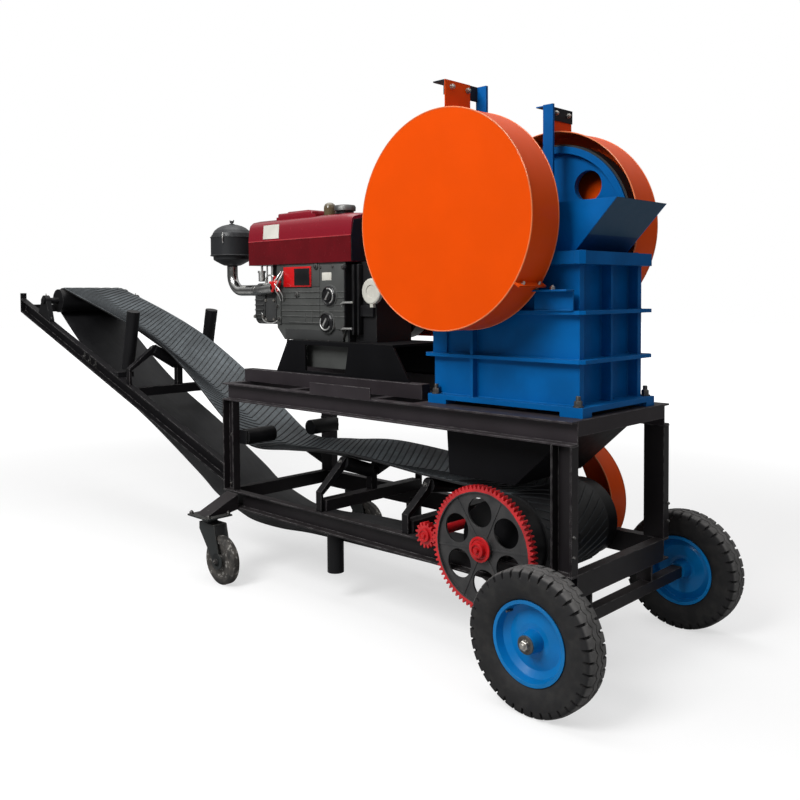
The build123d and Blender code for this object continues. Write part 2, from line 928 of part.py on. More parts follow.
# Idler stations: two tilted rollers on brackets, at each of three places
roller_drop = {"rear": 14.0, "middle": 8.0, "front": 6.0}
roller_inset = 22.0
bracket_width = 40.0
bracket_sheet = 8.0
roller_ends = {}
for name, trough in troughs.items():
    tilt = radians(trough)
    drop = (idler_radius + roller_drop[name]) / cos(tilt)
    inner_point = (roller_inset, station_belt[name] - drop + roller_inset * tan(tilt))
    outer_point = (
        inner_point[0] + idler_length * cos(tilt),
        inner_point[1] + idler_length * sin(tilt),
    )
    roller_ends[name] = (inner_point, outer_point)

with BuildPart() as idler_rollers:
    for name, (inner_point, outer_point) in roller_ends.items():
        x = station_x[name] + station_beam_width / 2
        for side in sides.values():
            start = Vector(x, side * inner_point[0], inner_point[1])
            run = Vector(0, side * (outer_point[0] - inner_point[0]), outer_point[1] - inner_point[1])
            with BuildSketch(Plane(origin=start, x_dir=(1, 0, 0), z_dir=run)) as roller:
                Circle(idler_radius)
            extrude(roller.sketch, amount=idler_length)
save(idler_rollers, "idler_rollers")

with BuildPart() as idler_brackets:
    for name, (inner_point, outer_point) in roller_ends.items():
        x = station_x[name] + station_beam_width / 2
        tilt = radians(troughs[name])
        floor = station_floor[name]
        x_span = (x - bracket_width / 2, x + bracket_width / 2)
        if name == "rear":
            foot_z = rail_z(x_span[0]) + rail_half_depth
        else:
            foot_z = lower_top_z
        for side in sides.values():
            foot_inner = bearing_y - bracket_sheet
            foot_outer = bearing_y + bracket_sheet

            def beside_roller(along, up):
                """A (y, z) point beside the roller's outer end."""
                return (
                    side * (outer_point[0] + along * cos(tilt) - up * sin(tilt)),
                    outer_point[1] + along * sin(tilt) + up * cos(tilt),
                )

            bend_z = foot_z + 0.45 * (outer_point[1] - foot_z)
            plate_along_x(
                [
                    (side * foot_inner, foot_z),
                    (side * foot_outer, foot_z),
                    (side * foot_outer, bend_z),
                    beside_roller(4 * bracket_sheet, -idler_radius / 2),
                    beside_roller(bracket_sheet + bearing_gap, 30),
                    beside_roller(bearing_gap, 30),
                    beside_roller(bearing_gap, -idler_radius - 2),
                    (side * foot_inner, bend_z - 2 * bracket_sheet),
                ],
                x_span,
            )
            if name == "rear":
                plate_along_y(
                    [
                        (x_span[0], foot_z),
                        (x_span[1], rail_z(x_span[1]) + rail_half_depth),
                        (x_span[1], foot_z),
                    ],
                    span_out(side, foot_inner, foot_outer),
                )
        plate_along_x(
            [
                (-roller_inset + bearing_gap, floor),
                (roller_inset - bearing_gap, floor),
                (roller_inset - bearing_gap, inner_point[1]),
                (-roller_inset + bearing_gap, inner_point[1]),
            ],
            x_span,
        )
save(idler_brackets, "idler_brackets")

# Guide rollers: upright rollers beside the belt, and two that hold its edges down
foot_half = 30.0
foot_height = 14.0
pin_radius = 12.0
return_post_setback = 1513.0
return_post_low_z = 154.0
post_lean = radians(guide_lean)
with BuildPart() as guide_rollers:
    for side in sides.values():
        post_x = station_x["rear"] - 110
        guide_y = side * guide_spread / 2
        low_x, high_x = post_x + foot_half, post_x - foot_half
        seat_z = rail_z(high_x) + rail_half_depth + foot_height
        plate_along_y(
            [
                (low_x, rail_z(low_x) + rail_half_depth),
                (low_x, seat_z),
                (high_x, seat_z),
                (high_x, rail_z(high_x) + rail_half_depth),
            ],
            span_out(side, guide_spread / 2 - foot_half, flange_tip),
        )
        lean_plane = Plane(
            origin=(post_x, guide_y, seat_z),
            x_dir=(cos(post_lean), 0, -sin(post_lean)),
            z_dir=(sin(post_lean), 0, cos(post_lean)),
        )
        with BuildSketch(lean_plane.offset(-foot_height / 2)) as pin_section:
            Circle(pin_radius)
        extrude(pin_section.sketch, amount=foot_height * 2.5)
        with BuildSketch(lean_plane.offset(foot_height * 1.5)) as post_section:
            Circle(guide_post_radius)
        extrude(post_section.sketch, amount=guide_post_height - foot_height * 1.5)
        return_y = side * (half_belt + guide_post_radius + 12)
        return_x = feed_end_x - return_post_setback
        post_along_z(
            return_x, return_y, guide_post_radius, (return_post_low_z, lower_bottom_z + 30)
        )
        post_along_z(return_x, return_y, pin_radius, (lower_bottom_z + 30, lower_top_z - 50))
        block(
            (return_x - 20, return_x + 20),
            span_out(side, half_belt + guide_post_radius, inner_half),
            (lower_top_z - 60, lower_top_z - 40),
        )
save(guide_rollers, "guide_rollers")

hold_down_radius = 46.0
hold_down_length = 200.0
hold_down_plate = 12.0
hold_down_x = deck_rear_x + channel_depth + 34
hold_down_z = leg_belt_z + belt_thick + hold_down_radius + 37
with BuildPart() as hold_down_rollers:
    for side in sides.values():
        block(
            (deck_rear_x + channel_lip, hold_down_x + 30),
            span_out(side, inner_half - hold_down_plate, inner_half),
            (hold_down_z - 40, hold_down_z + 40),
        )
        disc_along_y(
            hold_down_x,
            hold_down_z,
            hold_down_radius,
            span_out(side, inner_half - hold_down_plate - hold_down_length, inner_half - hold_down_plate),
        )
save(hold_down_rollers, "hold_down_rollers")

# Discharge chute: black plates from the deck opening down beside the belt, and a sloping front
chute_half = half_belt + 12
chute_low_z = 775.0
chute_sheet = 6.0
chute_rear_x = feed_end_x - 770
chute_front_x = feed_end_x - 130
chute_toe_x = feed_end_x - 380
with BuildPart() as discharge_chute:
    for side in sides.values():
        plate_along_y(
            [
                (chute_rear_x, deck_bottom_z),
                (chute_front_x, deck_bottom_z),
                (chute_toe_x, chute_low_z),
                (chute_rear_x + 15, chute_low_z),
            ],
            span_out(side, chute_half, chute_half + chute_sheet),
        )
        block(
            (chute_rear_x, chute_front_x),
            span_out(side, chute_half, inner_half),
            (deck_bottom_z, deck_bottom_z + chute_sheet),
        )
    plate_along_y(
        [
            (chute_front_x, deck_bottom_z),
            (chute_front_x - chute_sheet, deck_bottom_z),
            (chute_toe_x - chute_sheet, chute_low_z),
            (chute_toe_x, chute_low_z),
        ],
        (-chute_half, chute_half),
    )
save(discharge_chute, "discharge_chute")

# Crusher body: four ribbed walls welded into a box, on a base flange that stands on packers
wall_inner = crusher_half_width - wall_thick
wall_top = top_flange_z + top_flange_height
base_z = deck_top_z + base_lift
flange_top_z = base_z + base_flange_thick
base_half = crusher_half_width + 45
base_rear_reach = 5.0
packer_length = 110.0
pad_length = 85.0
pad_thick = 12.0
rib_levels = [lower_rib_z, upper_rib_z]
saddle_half = 150.0
saddle_top = shaft_z
middle_rib_x = shaft_x - 14
for name, side in sides.items():
    with BuildPart() as side_wall:
        wall_span = span_out(side, wall_inner, crusher_half_width)
        plate_along_y(
            [
                (crusher_rear_x, base_z),
                (crusher_front_x, base_z),
                (crusher_front_x, wall_top),
                (shaft_x + saddle_half + 90, wall_top),
                (shaft_x + saddle_half, saddle_top),
                (shaft_x - saddle_half, saddle_top),
                (crusher_rear_x, wall_top),
            ],
            wall_span,
        )
        disc_along_y(shaft_x, shaft_z, bearing_housing_radius + 30, wall_span)
        disc_along_y(
            shaft_x,
            shaft_z,
            bearing_housing_radius,
            span_out(side, crusher_half_width, flywheel_inner_face - 15),
        )
        base_x = (crusher_rear_x - base_rear_reach, crusher_front_x + base_flange_reach)
        block(base_x, span_out(side, wall_inner, base_half), (base_z, flange_top_z))
        for x in (base_x[0], base_x[1] - packer_length):
            block(
                (x, x + packer_length),
                span_out(side, crusher_half_width - 25, base_half),
                (deck_top_z, base_z),
            )
        rib_span = span_out(side, crusher_half_width, crusher_half_width + rib_reach)
        for z in rib_levels:
            block((crusher_rear_x, crusher_front_x), rib_span, (z, z + rib_thick))
        block((crusher_rear_x, crusher_front_x), rib_span, (top_flange_z, wall_top))
        block(
            (middle_rib_x, middle_rib_x + rib_thick),
            span_out(side, crusher_half_width, crusher_half_width + rib_reach - 4),
            (flange_top_z, top_flange_z),
        )
        block(
            (crusher_rear_x, crusher_rear_x + pad_length),
            span_out(side, crusher_half_width, crusher_half_width + pad_thick),
            (lower_rib_z + rib_thick, upper_rib_z),
        )
        disc_along_y(
            shaft_x,
            shaft_z,
            shaft_diameter / 2 + bearing_gap,
            span_out(side, wall_inner - 1, flywheel_inner_face),
            mode=Mode.SUBTRACT,
        )
    save(side_wall, f"crusher_{name}_wall")

shelf_half = crusher_half_width + rib_reach
shelf_corner = rib_reach / 2
shelves = [(z, z + rib_thick) for z in rib_levels] + [(top_flange_z, wall_top)]
for name, end_x, outward, foot_reach in (
    ("front", crusher_front_x, 1, base_flange_reach),
    ("rear", crusher_rear_x, -1, base_rear_reach),
):
    outer_x = end_x - outward * end_recess
    recess = tuple(sorted((outer_x, end_x)))
    lip_x = end_x + outward * rib_reach
    turn_x = lip_x - outward * shelf_corner
    with BuildPart() as end_wall:
        block(
            tuple(sorted((outer_x - outward * wall_thick, outer_x))),
            (-wall_inner, wall_inner),
            (base_z, wall_top),
        )
        for z_span in shelves:
            block(recess, (-wall_inner, wall_inner), z_span)
            with BuildSketch(Plane.XY.offset(z_span[0])) as shelf:
                with BuildLine():
                    Polyline(
                        (end_x, -shelf_half),
                        (turn_x, -shelf_half),
                        (lip_x, -shelf_half + shelf_corner),
                        (lip_x, shelf_half - shelf_corner),
                        (turn_x, shelf_half),
                        (end_x, shelf_half),
                        close=True,
                    )
                make_face()
            extrude(shelf.sketch, amount=z_span[1] - z_span[0])
        block(recess, (-rib_thick / 2, rib_thick / 2), (flange_top_z, top_flange_z))
        block(
            tuple(sorted((outer_x, end_x + outward * foot_reach))),
            (-wall_inner, wall_inner),
            (base_z, flange_top_z),
        )
    save(end_wall, f"crusher_{name}_wall")

# Crushing chamber: the fixed jaw plate, the swing jaw on the eccentric shaft and the toggle
jaw_seat_x = crusher_front_x - end_recess - wall_thick
fixed_face_x = jaw_seat_x - jaw_plate_thick
jaw_half = wall_inner - 4
chamber_low_z = deck_top_z + 70
chamber_high_z = wall_top - 10
rib_height = 14.0


def jaw_ribs(face):
    """Vertical ribs of a jaw plate, as (x, z) outlines stepped along the width."""
    count = int(2 * jaw_half / jaw_rib_pitch)
    first = -(count - 1) / 2 * jaw_rib_pitch
    for step in range(count):
        middle = first + step * jaw_rib_pitch
        plate_along_y(face, (middle - 9, middle + 9))


with BuildPart() as fixed_jaw:
    block(
        (fixed_face_x + rib_height, jaw_seat_x),
        (-jaw_half, jaw_half),
        (chamber_low_z, chamber_high_z),
    )
    jaw_ribs(
        [
            (fixed_face_x, chamber_low_z),
            (fixed_face_x + rib_height + 1, chamber_low_z),
            (fixed_face_x + rib_height + 1, chamber_high_z),
            (fixed_face_x, chamber_high_z),
        ]
    )
save(fixed_jaw, "fixed_jaw")

swing_low_x = fixed_face_x - discharge_gap
swing_high_x = fixed_face_x - mouth_gap
swing_back_x = swing_low_x - 150
swing_head_radius = 118.0
toggle_z = chamber_low_z + 78
toggle_half = 150.0
with BuildPart() as swing_jaw:
    plate_along_y(
        [
            (swing_low_x - rib_height, chamber_low_z),
            (swing_high_x - rib_height, chamber_high_z),
            (shaft_x + 40, shaft_z + swing_head_radius - 8),
            (shaft_x - swing_head_radius + 10, shaft_z),
            (swing_back_x, toggle_z + 90),
            (swing_back_x, chamber_low_z),
        ],
        (-jaw_half, jaw_half),
    )
    disc_along_y(shaft_x, shaft_z, swing_head_radius, (-jaw_half, jaw_half))
    jaw_ribs(
        [
            (swing_low_x, chamber_low_z),
            (swing_high_x, chamber_high_z),
            (swing_high_x - rib_height - 4, chamber_high_z),
            (swing_low_x - rib_height - 4, chamber_low_z),
        ]
    )
    disc_along_y(
        shaft_x,
        shaft_z,
        shaft_diameter / 2 + bearing_gap,
        (-jaw_half, jaw_half),
        mode=Mode.SUBTRACT,
    )
save(swing_jaw, "swing_jaw")

with BuildPart() as toggle_plate:
    block(
        (crusher_rear_x + end_recess + wall_thick, swing_back_x),
        (-toggle_half, toggle_half),
        (toggle_z, toggle_z + 34),
    )
save(toggle_plate, "toggle_plate")

# Feed hopper: a sloping front plate between two upright side plates
hopper_low_x = crusher_front_x - end_recess - 11
hopper_rear_x = feed_end_x - 330
with BuildPart() as hopper_front_plate:
    plate_along_y(
        [
            (hopper_low_x, wall_top),
            (hopper_low_x + hopper_plate, wall_top),
            (hopper_low_x + hopper_plate + hopper_reach, hopper_top_z),
            (hopper_low_x + hopper_reach, hopper_top_z),
        ],
        (-hopper_half_width, hopper_half_width),
    )
save(hopper_front_plate, "hopper_front_plate")

with BuildPart() as hopper_side_plates:
    for side in sides.values():
        plate_along_y(
            [
                (hopper_rear_x, wall_top),
                (hopper_low_x + hopper_plate, wall_top),
                (hopper_low_x + hopper_plate + hopper_reach, hopper_top_z),
                (hopper_rear_x, hopper_top_z),
            ],
            span_out(side, hopper_half_width, hopper_half_width + hopper_plate),
        )
        block(
            (hopper_rear_x, crusher_front_x),
            span_out(side, hopper_half_width, wall_inner + 4),
            (wall_top, wall_top + hopper_plate),
        )
save(hopper_side_plates, "hopper_side_plates")

# Rotor: the eccentric shaft with a flywheel on each end, the far one grooved for belts
with BuildPart() as eccentric_shaft:
    disc_along_y(
        shaft_x,
        shaft_z,
        shaft_diameter / 2,
        (-flywheel_outer_face - 10, flywheel_outer_face + 10),
    )
save(eccentric_shaft, "eccentric_shaft")

for name, side in sides.items():
    rim_span = span_out(side, flywheel_inner_face, flywheel_outer_face)
    middle = (flywheel_inner_face + flywheel_outer_face) / 2
    web_range = span_out(side, middle - flywheel_web_thick / 2, middle + flywheel_web_thick / 2)
    with BuildPart() as flywheel:
        ring_along_y(shaft_x, shaft_z, flywheel_radius, flywheel_radius - flywheel_rim, rim_span)
        disc_along_y(shaft_x, shaft_z, flywheel_radius - flywheel_rim, web_range)
        disc_along_y(shaft_x, shaft_z, shaft_diameter / 2 + 38, rim_span)
        with BuildSketch(Plane.XZ.offset(-rim_span[1])) as flywheel_holes:
            with Locations((shaft_x, shaft_z)):
                with PolarLocations(flywheel_hole_circle, 4, start_angle=50):
                    Circle(flywheel_hole_radius)
                Circle(shaft_diameter / 2)
        extrude(flywheel_holes.sketch, amount=flywheel_width, mode=Mode.SUBTRACT)
    save(flywheel, f"{name}_flywheel")

# Guards: a drum over the near flywheel and a belt guard on the far side
tab_thick = 4.0
hang_x = shaft_x + 15
post_top_z = shaft_z + guard_radius + hanger_rise
tab_low_z = shaft_z + guard_radius - 2.5
tab_range = (guard_inner_face + 2, guard_outer_face - 18)
with BuildPart() as near_flywheel_guard:
    drum_span = (-guard_outer_face, -guard_inner_face)
    ring_along_y(shaft_x, shaft_z, guard_radius, guard_radius - guard_sheet, drum_span)
    disc_along_y(
        shaft_x, shaft_z, guard_radius, (-guard_outer_face, -guard_outer_face + guard_sheet)
    )
    block((hang_x, hang_x + tab_thick), span_out(-1, *tab_range), (tab_low_z, post_top_z))
save(near_flywheel_guard, "near_flywheel_guard")

guard_end_x = feed_end_x - belt_guard_end_setback
guard_shoulder_z = crank_z + 190


def belt_guard_outline(inset):
    """Outline of the belt guard on the current sketch, drawn in by the inset."""
    radius = guard_radius - inset
    with BuildLine() as edge:
        left = guard_end_x + inset
        bottom = belt_guard_bottom_z + inset
        shoulder = (left, guard_shoulder_z - inset)
        from_axis = hypot(shoulder[0] - shaft_x, shoulder[1] - shaft_z)
        lean = atan2(shoulder[1] - shaft_z, shoulder[0] - shaft_x)
        touch_angle = lean - acos(radius / from_axis)
        touch = (shaft_x + radius * cos(touch_angle), shaft_z + radius * sin(touch_angle))
        foot_x = shaft_x + 0.6 * guard_radius
        foot = (foot_x, shaft_z - sqrt(radius**2 - (foot_x - shaft_x) ** 2))
        heel = (foot_x - (foot[1] - bottom) * 1.2, bottom)
        Line(shoulder, touch)
        ThreePointArc(touch, (shaft_x + radius, shaft_z), foot)
        Polyline(foot, heel, (left, bottom), shoulder)
    make_face(edge.line)


with BuildPart() as far_belt_guard:
    with BuildSketch(Plane.XZ.offset(-guard_outer_face)) as shell:
        belt_guard_outline(0.0)
    extrude(shell.sketch, amount=guard_outer_face - guard_inner_face)
    with BuildSketch(Plane.XZ.offset(-guard_outer_face + guard_sheet)) as hollow:
        belt_guard_outline(guard_sheet)
    extrude(
        hollow.sketch, amount=guard_outer_face - guard_inner_face, mode=Mode.SUBTRACT
    )
    block(
        (hang_x - tab_thick, hang_x),
        span_out(1, *tab_range),
        (tab_low_z, post_top_z - angle_thick),
    )
save(far_belt_guard, "far_belt_guard")

post_x = shaft_x + 35
with BuildPart() as guard_hangers:
    for side, leg_face_x in ((-1, hang_x), (1, hang_x + angle_thick)):
        post_face = crusher_half_width + post_thick
        block(
            (post_x - post_width / 2, post_x + post_width / 2),
            span_out(side, crusher_half_width, post_face),
            (shaft_z + bearing_housing_radius + 10, post_top_z),
        )
        angle_span = span_out(side, post_face, tab_range[1])
        block(
            (leg_face_x - angle_leg, leg_face_x),
            angle_span,
            (post_top_z - angle_thick, post_top_z),
        )
        block(
            (leg_face_x - angle_thick, leg_face_x),
            angle_span,
            (post_top_z - angle_leg, post_top_z),
        )
save(guard_hangers, "guard_hangers")

lower_guard_x = feed_end_x - lower_guard_setback
lower_guard_face = pulley_span[1] + 15
lower_guard_start = -40
lower_guard_turn = 130
with BuildPart() as lower_belt_guard:
    with BuildSketch(Plane.XZ.offset(-lower_guard_face)) as lower_shell:
        with BuildLine():
            centre = (lower_guard_x, lower_guard_z)
            band = CenterArc(centre, lower_guard_radius, lower_guard_start, lower_guard_turn)
            inner_band = CenterArc(
                centre, lower_guard_radius - guard_sheet, lower_guard_start, lower_guard_turn
            )
            Line(band @ 0, inner_band @ 0)
            Line(band @ 1, inner_band @ 1)
        make_face()
    extrude(lower_shell.sketch, amount=lower_guard_face - flange_tip)
    with BuildSketch(Plane.XZ.offset(-lower_guard_face)) as lower_face:
        with BuildLine():
            edge_arc = CenterArc(centre, lower_guard_radius, lower_guard_start, lower_guard_turn)
            Line(edge_arc @ 1, edge_arc @ 0)
        make_face()
    extrude(lower_face.sketch, amount=guard_sheet)
save(lower_belt_guard, "lower_belt_guard")

# Engine: stand, crankcase, cylinder head, fuel tank, air cleaner and flywheel
rail_top_z = deck_top_z + rail_height
stand_bottom = (feed_end_x - 2109, feed_end_x - 1060)
stand_top = (feed_end_x - 2014, feed_end_x - 1170)
case_rear_x = feed_end_x - crankcase_rear_setback
case_front_x = feed_end_x - crankcase_front_setback
engine_y = (engine_near_y, engine_far_y)
pan_x = (case_rear_x + 245, case_front_x + 10)
pan_half = 150.0
pan_low_z = rail_top_z + 31
pan_gap = 4.0
window_lean = 60.0
with BuildPart() as engine_stand:
    for side in sides.values():
        middle = side * rail_spacing / 2
        plate_along_y(
            [
                (stand_bottom[0], rail_top_z),
                (stand_bottom[1], rail_top_z),
                (stand_top[1], stand_top_z),
                (stand_top[0], stand_top_z),
            ],
            tuple(sorted((middle - side * stand_plate, middle))),
        )
    block(
        stand_top,
        (-rail_spacing / 2, rail_spacing / 2),
        (stand_top_z, crankcase_bottom_z),
    )
    block(
        (pan_x[0] - pan_gap, pan_x[1] + pan_gap),
        (-pan_half - pan_gap, pan_half + pan_gap),
        (stand_top_z, crankcase_bottom_z),
        mode=Mode.SUBTRACT,
    )
    plate_along_y(
        [
            (pan_x[0] + window_lean, rail_top_z + 15),
            (pan_x[1] + window_lean / 2, rail_top_z + 15),
            (pan_x[1] + window_lean, stand_top_z - 10),
            (pan_x[0] + window_lean, stand_top_z - 10),
        ],
        span_out(-1, rail_spacing / 2 - stand_plate, rail_spacing / 2),
        mode=Mode.SUBTRACT,
    )
save(engine_stand, "engine_stand")

sump_height = 68.0
sump_rear_inset = 67.0
sump_front_inset = 37.0
nose_length = 168.0
nose_setback = 66.0
with BuildPart() as engine_block:
    plate_along_y(
        [
            (case_rear_x + sump_rear_inset, crankcase_bottom_z),
            (case_front_x - sump_front_inset, crankcase_bottom_z),
            (case_front_x, crankcase_bottom_z + sump_height),
            (case_front_x, crankcase_top_z),
            (case_rear_x, crankcase_top_z),
            (case_rear_x, crankcase_bottom_z + sump_height),
        ],
        engine_y,
    )
    block(
        (case_front_x, case_front_x + nose_length),
        (engine_near_y + nose_setback, engine_far_y),
        (crankcase_bottom_z, crankcase_top_z),
    )
    block(pan_x, (-pan_half, pan_half), (pan_low_z, crankcase_bottom_z + sump_height))
save(engine_block, "engine_block")

head_rear_x = feed_end_x - head_rear_setback
head_low_z = crankcase_bottom_z + 85
head_high_z = crankcase_top_z - 106
with BuildPart() as cylinder_head:
    with BuildSketch(Plane.XZ.offset(-engine_far_y + 25)) as head_section:
        with Locations(((head_rear_x + case_rear_x) / 2, (head_low_z + head_high_z) / 2)):
            Rectangle(case_rear_x - head_rear_x, head_high_z - head_low_z)
        rear_corners = head_section.vertices().group_by(Axis.X)[0]
        fillet(rear_corners, radius=45)
    extrude(head_section.sketch, amount=engine_far_y - engine_near_y - 50)
save(cylinder_head, "cylinder_head")

tank_x = (feed_end_x - tank_rear_setback, feed_end_x - tank_front_setback)
tank_y = (engine_near_y - 12, engine_far_y + 12)
tank_crease_z = tank_bottom_z + 132
tank_edge_z = tank_bottom_z + tank_height - 28
tank_lean = 12.0
crown_z = tank_bottom_z + tank_height
lid_x = (tank_x[0] + 205, tank_x[0] + 555)
lid_y = (-125.0, 110.0)
filler_y = -60.0
with BuildPart() as fuel_tank:
    with BuildSketch(Plane.YZ.offset(tank_x[0])) as tank_section:
        with BuildLine():
            near_edge = (tank_y[0] + tank_lean, tank_edge_z)
            far_edge = (tank_y[1] - tank_lean, tank_edge_z)
            Polyline(
                near_edge,
                (tank_y[0], tank_crease_z),
                (tank_y[0], crankcase_top_z),
                (tank_y[1], crankcase_top_z),
                (tank_y[1], tank_crease_z),
                far_edge,
            )
            ThreePointArc(near_edge, (sum(tank_y) / 2, crown_z), far_edge)
        make_face()
    extrude(tank_section.sketch, amount=tank_x[1] - tank_x[0])
    block(lid_x, lid_y, (tank_edge_z, crown_z + 26))
    post_along_z(lid_x[1] + 50, filler_y, 28, (tank_edge_z, crown_z + 52))
    post_along_z(lid_x[1] + 175, filler_y, 48, (tank_edge_z, crown_z + 30))
save(fuel_tank, "fuel_tank")

cleaner_x = tank_x[0] - air_cleaner_gap - air_cleaner_radius
cleaner_y = -120.0
cleaner_neck_z = air_cleaner_z - 173
dome_height = 78.0
neck_radius = 44.0
pipe_z = crankcase_top_z - 148
with BuildPart() as air_cleaner:
    with BuildSketch(Plane.XZ.offset(-cleaner_y)) as bowl:
        dome_radius = air_cleaner_radius - 8
        dome = [
            (
                cleaner_x + dome_radius * sin(radians(angle)),
                air_cleaner_z + 8 + dome_height * cos(radians(angle)),
            )
            for angle in range(0, 91, 15)
        ]
        with BuildLine():
            Polyline(
                *dome,
                (cleaner_x + air_cleaner_radius, air_cleaner_z + 8),
                (cleaner_x + air_cleaner_radius, air_cleaner_z - 2),
                (cleaner_x + dome_radius, air_cleaner_z - 4),
                (cleaner_x + dome_radius, air_cleaner_z - 75),
                (cleaner_x + dome_radius - 22, air_cleaner_z - 97),
                (cleaner_x + neck_radius + 16, air_cleaner_z - 116),
                (cleaner_x + neck_radius, air_cleaner_z - 148),
                (cleaner_x + neck_radius, cleaner_neck_z),
                (cleaner_x, cleaner_neck_z),
                close=True,
            )
        make_face()
    revolve(
        bowl.sketch,
        axis=Axis((cleaner_x, cleaner_y, 0), (0, 0, 1)),
        revolution_arc=360,
    )
    with BuildLine() as pipe_path:
        FilletPolyline(
            (cleaner_x, cleaner_y, cleaner_neck_z + 8),
            (cleaner_x, cleaner_y, pipe_z),
            (head_rear_x, cleaner_y, pipe_z),
            radius=100,
        )
    with BuildSketch(
        Plane(origin=(cleaner_x, cleaner_y, cleaner_neck_z + 8), z_dir=(0, 0, -1))
    ) as pipe_section:
        Circle(air_pipe_radius)
    sweep(pipe_section.sketch, path=pipe_path.line)
save(air_cleaner, "air_cleaner")

with BuildPart() as engine_flywheel:
    disc_along_y(crank_x, crank_z, engine_flywheel_radius, (engine_far_y + 20, engine_far_y + 110))
    disc_along_y(crank_x, crank_z, 45, (engine_far_y, engine_far_y + 20))
    disc_along_y(crank_x, crank_z, 60, (engine_far_y + 110, flywheel_inner_face))
    disc_along_y(crank_x, crank_z, engine_pulley_radius, (flywheel_inner_face, flywheel_outer_face))
save(engine_flywheel, "engine_flywheel")

belt_inset = 12.0
drive_gap = 0.5
drive_belt_thick = 10.0


def belt_loop(extra):
    """Outline of a taut loop round the flywheel and the engine pulley, on the current sketch."""
    big = flywheel_radius + drive_gap + extra
    small = engine_pulley_radius + drive_gap + extra
    apart = hypot(shaft_x - crank_x, shaft_z - crank_z)
    along = atan2(shaft_z - crank_z, shaft_x - crank_x)
    open_angle = acos((big - small) / apart)

    def rim(x, z, radius, angle):
        return (x + radius * cos(angle), z + radius * sin(angle))

    upper = along + pi - open_angle
    lower = along + pi + open_angle
    with BuildLine() as edge:
        ThreePointArc(
            rim(shaft_x, shaft_z, big, lower),
            rim(shaft_x, shaft_z, big, along),
            rim(shaft_x, shaft_z, big, upper),
        )
        Line(rim(shaft_x, shaft_z, big, upper), rim(crank_x, crank_z, small, upper))
        ThreePointArc(
            rim(crank_x, crank_z, small, upper),
            rim(crank_x, crank_z, small, along + pi),
            rim(crank_x, crank_z, small, lower),
        )
        Line(rim(crank_x, crank_z, small, lower), rim(shaft_x, shaft_z, big, lower))
    make_face(edge.line)


with BuildPart() as drive_belts:
    with BuildSketch(Plane.XZ.offset(-flywheel_outer_face + belt_inset)) as outer_loop:
        belt_loop(drive_belt_thick)
    extrude(outer_loop.sketch, amount=flywheel_width - 2 * belt_inset)
    with BuildSketch(Plane.XZ.offset(-flywheel_outer_face + belt_inset)) as inner_loop:
        belt_loop(0.0)
    extrude(
        inner_loop.sketch, amount=flywheel_width - 2 * belt_inset, mode=Mode.SUBTRACT
    )
save(drive_belts, "drive_belts")
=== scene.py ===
"""Looks of a mobile diesel jaw crusher with a belt conveyor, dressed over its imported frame."""
import bisect
import math
import random

import bmesh
import bpy
from mathutils import Matrix, Vector


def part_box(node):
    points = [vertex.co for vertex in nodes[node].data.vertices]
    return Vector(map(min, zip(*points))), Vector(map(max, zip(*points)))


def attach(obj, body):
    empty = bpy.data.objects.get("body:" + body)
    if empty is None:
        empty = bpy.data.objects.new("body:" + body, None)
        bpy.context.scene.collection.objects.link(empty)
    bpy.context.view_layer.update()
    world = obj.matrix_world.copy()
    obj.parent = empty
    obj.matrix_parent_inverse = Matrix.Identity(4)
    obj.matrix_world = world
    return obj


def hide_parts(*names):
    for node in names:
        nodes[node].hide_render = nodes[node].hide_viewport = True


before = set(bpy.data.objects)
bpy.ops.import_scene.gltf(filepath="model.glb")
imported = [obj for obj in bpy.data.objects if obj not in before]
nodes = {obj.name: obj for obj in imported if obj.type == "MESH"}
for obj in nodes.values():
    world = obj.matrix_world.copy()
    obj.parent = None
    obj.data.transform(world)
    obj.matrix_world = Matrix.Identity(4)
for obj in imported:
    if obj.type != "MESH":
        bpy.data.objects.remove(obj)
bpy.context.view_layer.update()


# Chassis
# Rolled channels and square tube welded into a two-storey frame and brushed all over with black
# paint. Dust lies on the upper faces, and the flange edges are painted paler, partly rubbed towards
# bare steel and partly a painted highlight. Lighter and darker copies of the black stand for
# painted light on the deck beams and painted shade on the rails, chute and engine stand.
class Signal:
    """A shader socket that takes part in Python sums; node() adds any other node beside it."""

    def __init__(self, tree, socket=None):
        self.tree = tree
        self.socket = socket

    def node(self, kind, settings=None, inputs=None, output=0):
        made = self.tree.nodes.new("ShaderNode" + kind)
        for name, value in (settings or {}).items():
            setattr(made, name, value)
        for name, value in (inputs or {}).items():
            if isinstance(value, Signal):
                self.tree.links.new(value.socket, made.inputs[name])
            elif made.inputs[name].type == "RGBA":
                made.inputs[name].default_value = (*value[:3], 1.0)
            else:
                made.inputs[name].default_value = value
        return Signal(self.tree, made.outputs[output])

    def sum(self, operation, first, second):
        return self.node("Math", {"operation": operation}, {0: first, 1: second})

    def __add__(self, other):
        return self.sum("ADD", self, other)

    def __sub__(self, other):
        return self.sum("SUBTRACT", self, other)

    def __mul__(self, other):
        return self.sum("MULTIPLY", self, other)

    def __pow__(self, other):
        return self.sum("POWER", self, other)

    def __rsub__(self, other):
        return self.sum("SUBTRACT", other, self)

    __radd__ = __add__
    __rmul__ = __mul__

    def __abs__(self):
        return self.sum("ABSOLUTE", self, 0.0)

    def rise(self, low, high):
        """A soft step from 0 at low to 1 at high."""
        limits = {"Value": self, "From Min": low, "From Max": high}
        return self.node("MapRange", {"interpolation_type": "SMOOTHSTEP"}, limits)

    def over(self, under, top):
        """The colour under, covered by top where this signal is 1."""
        return self.node("Mix", {"data_type": "RGBA"}, {0: self, 6: under, 7: top}, 2)


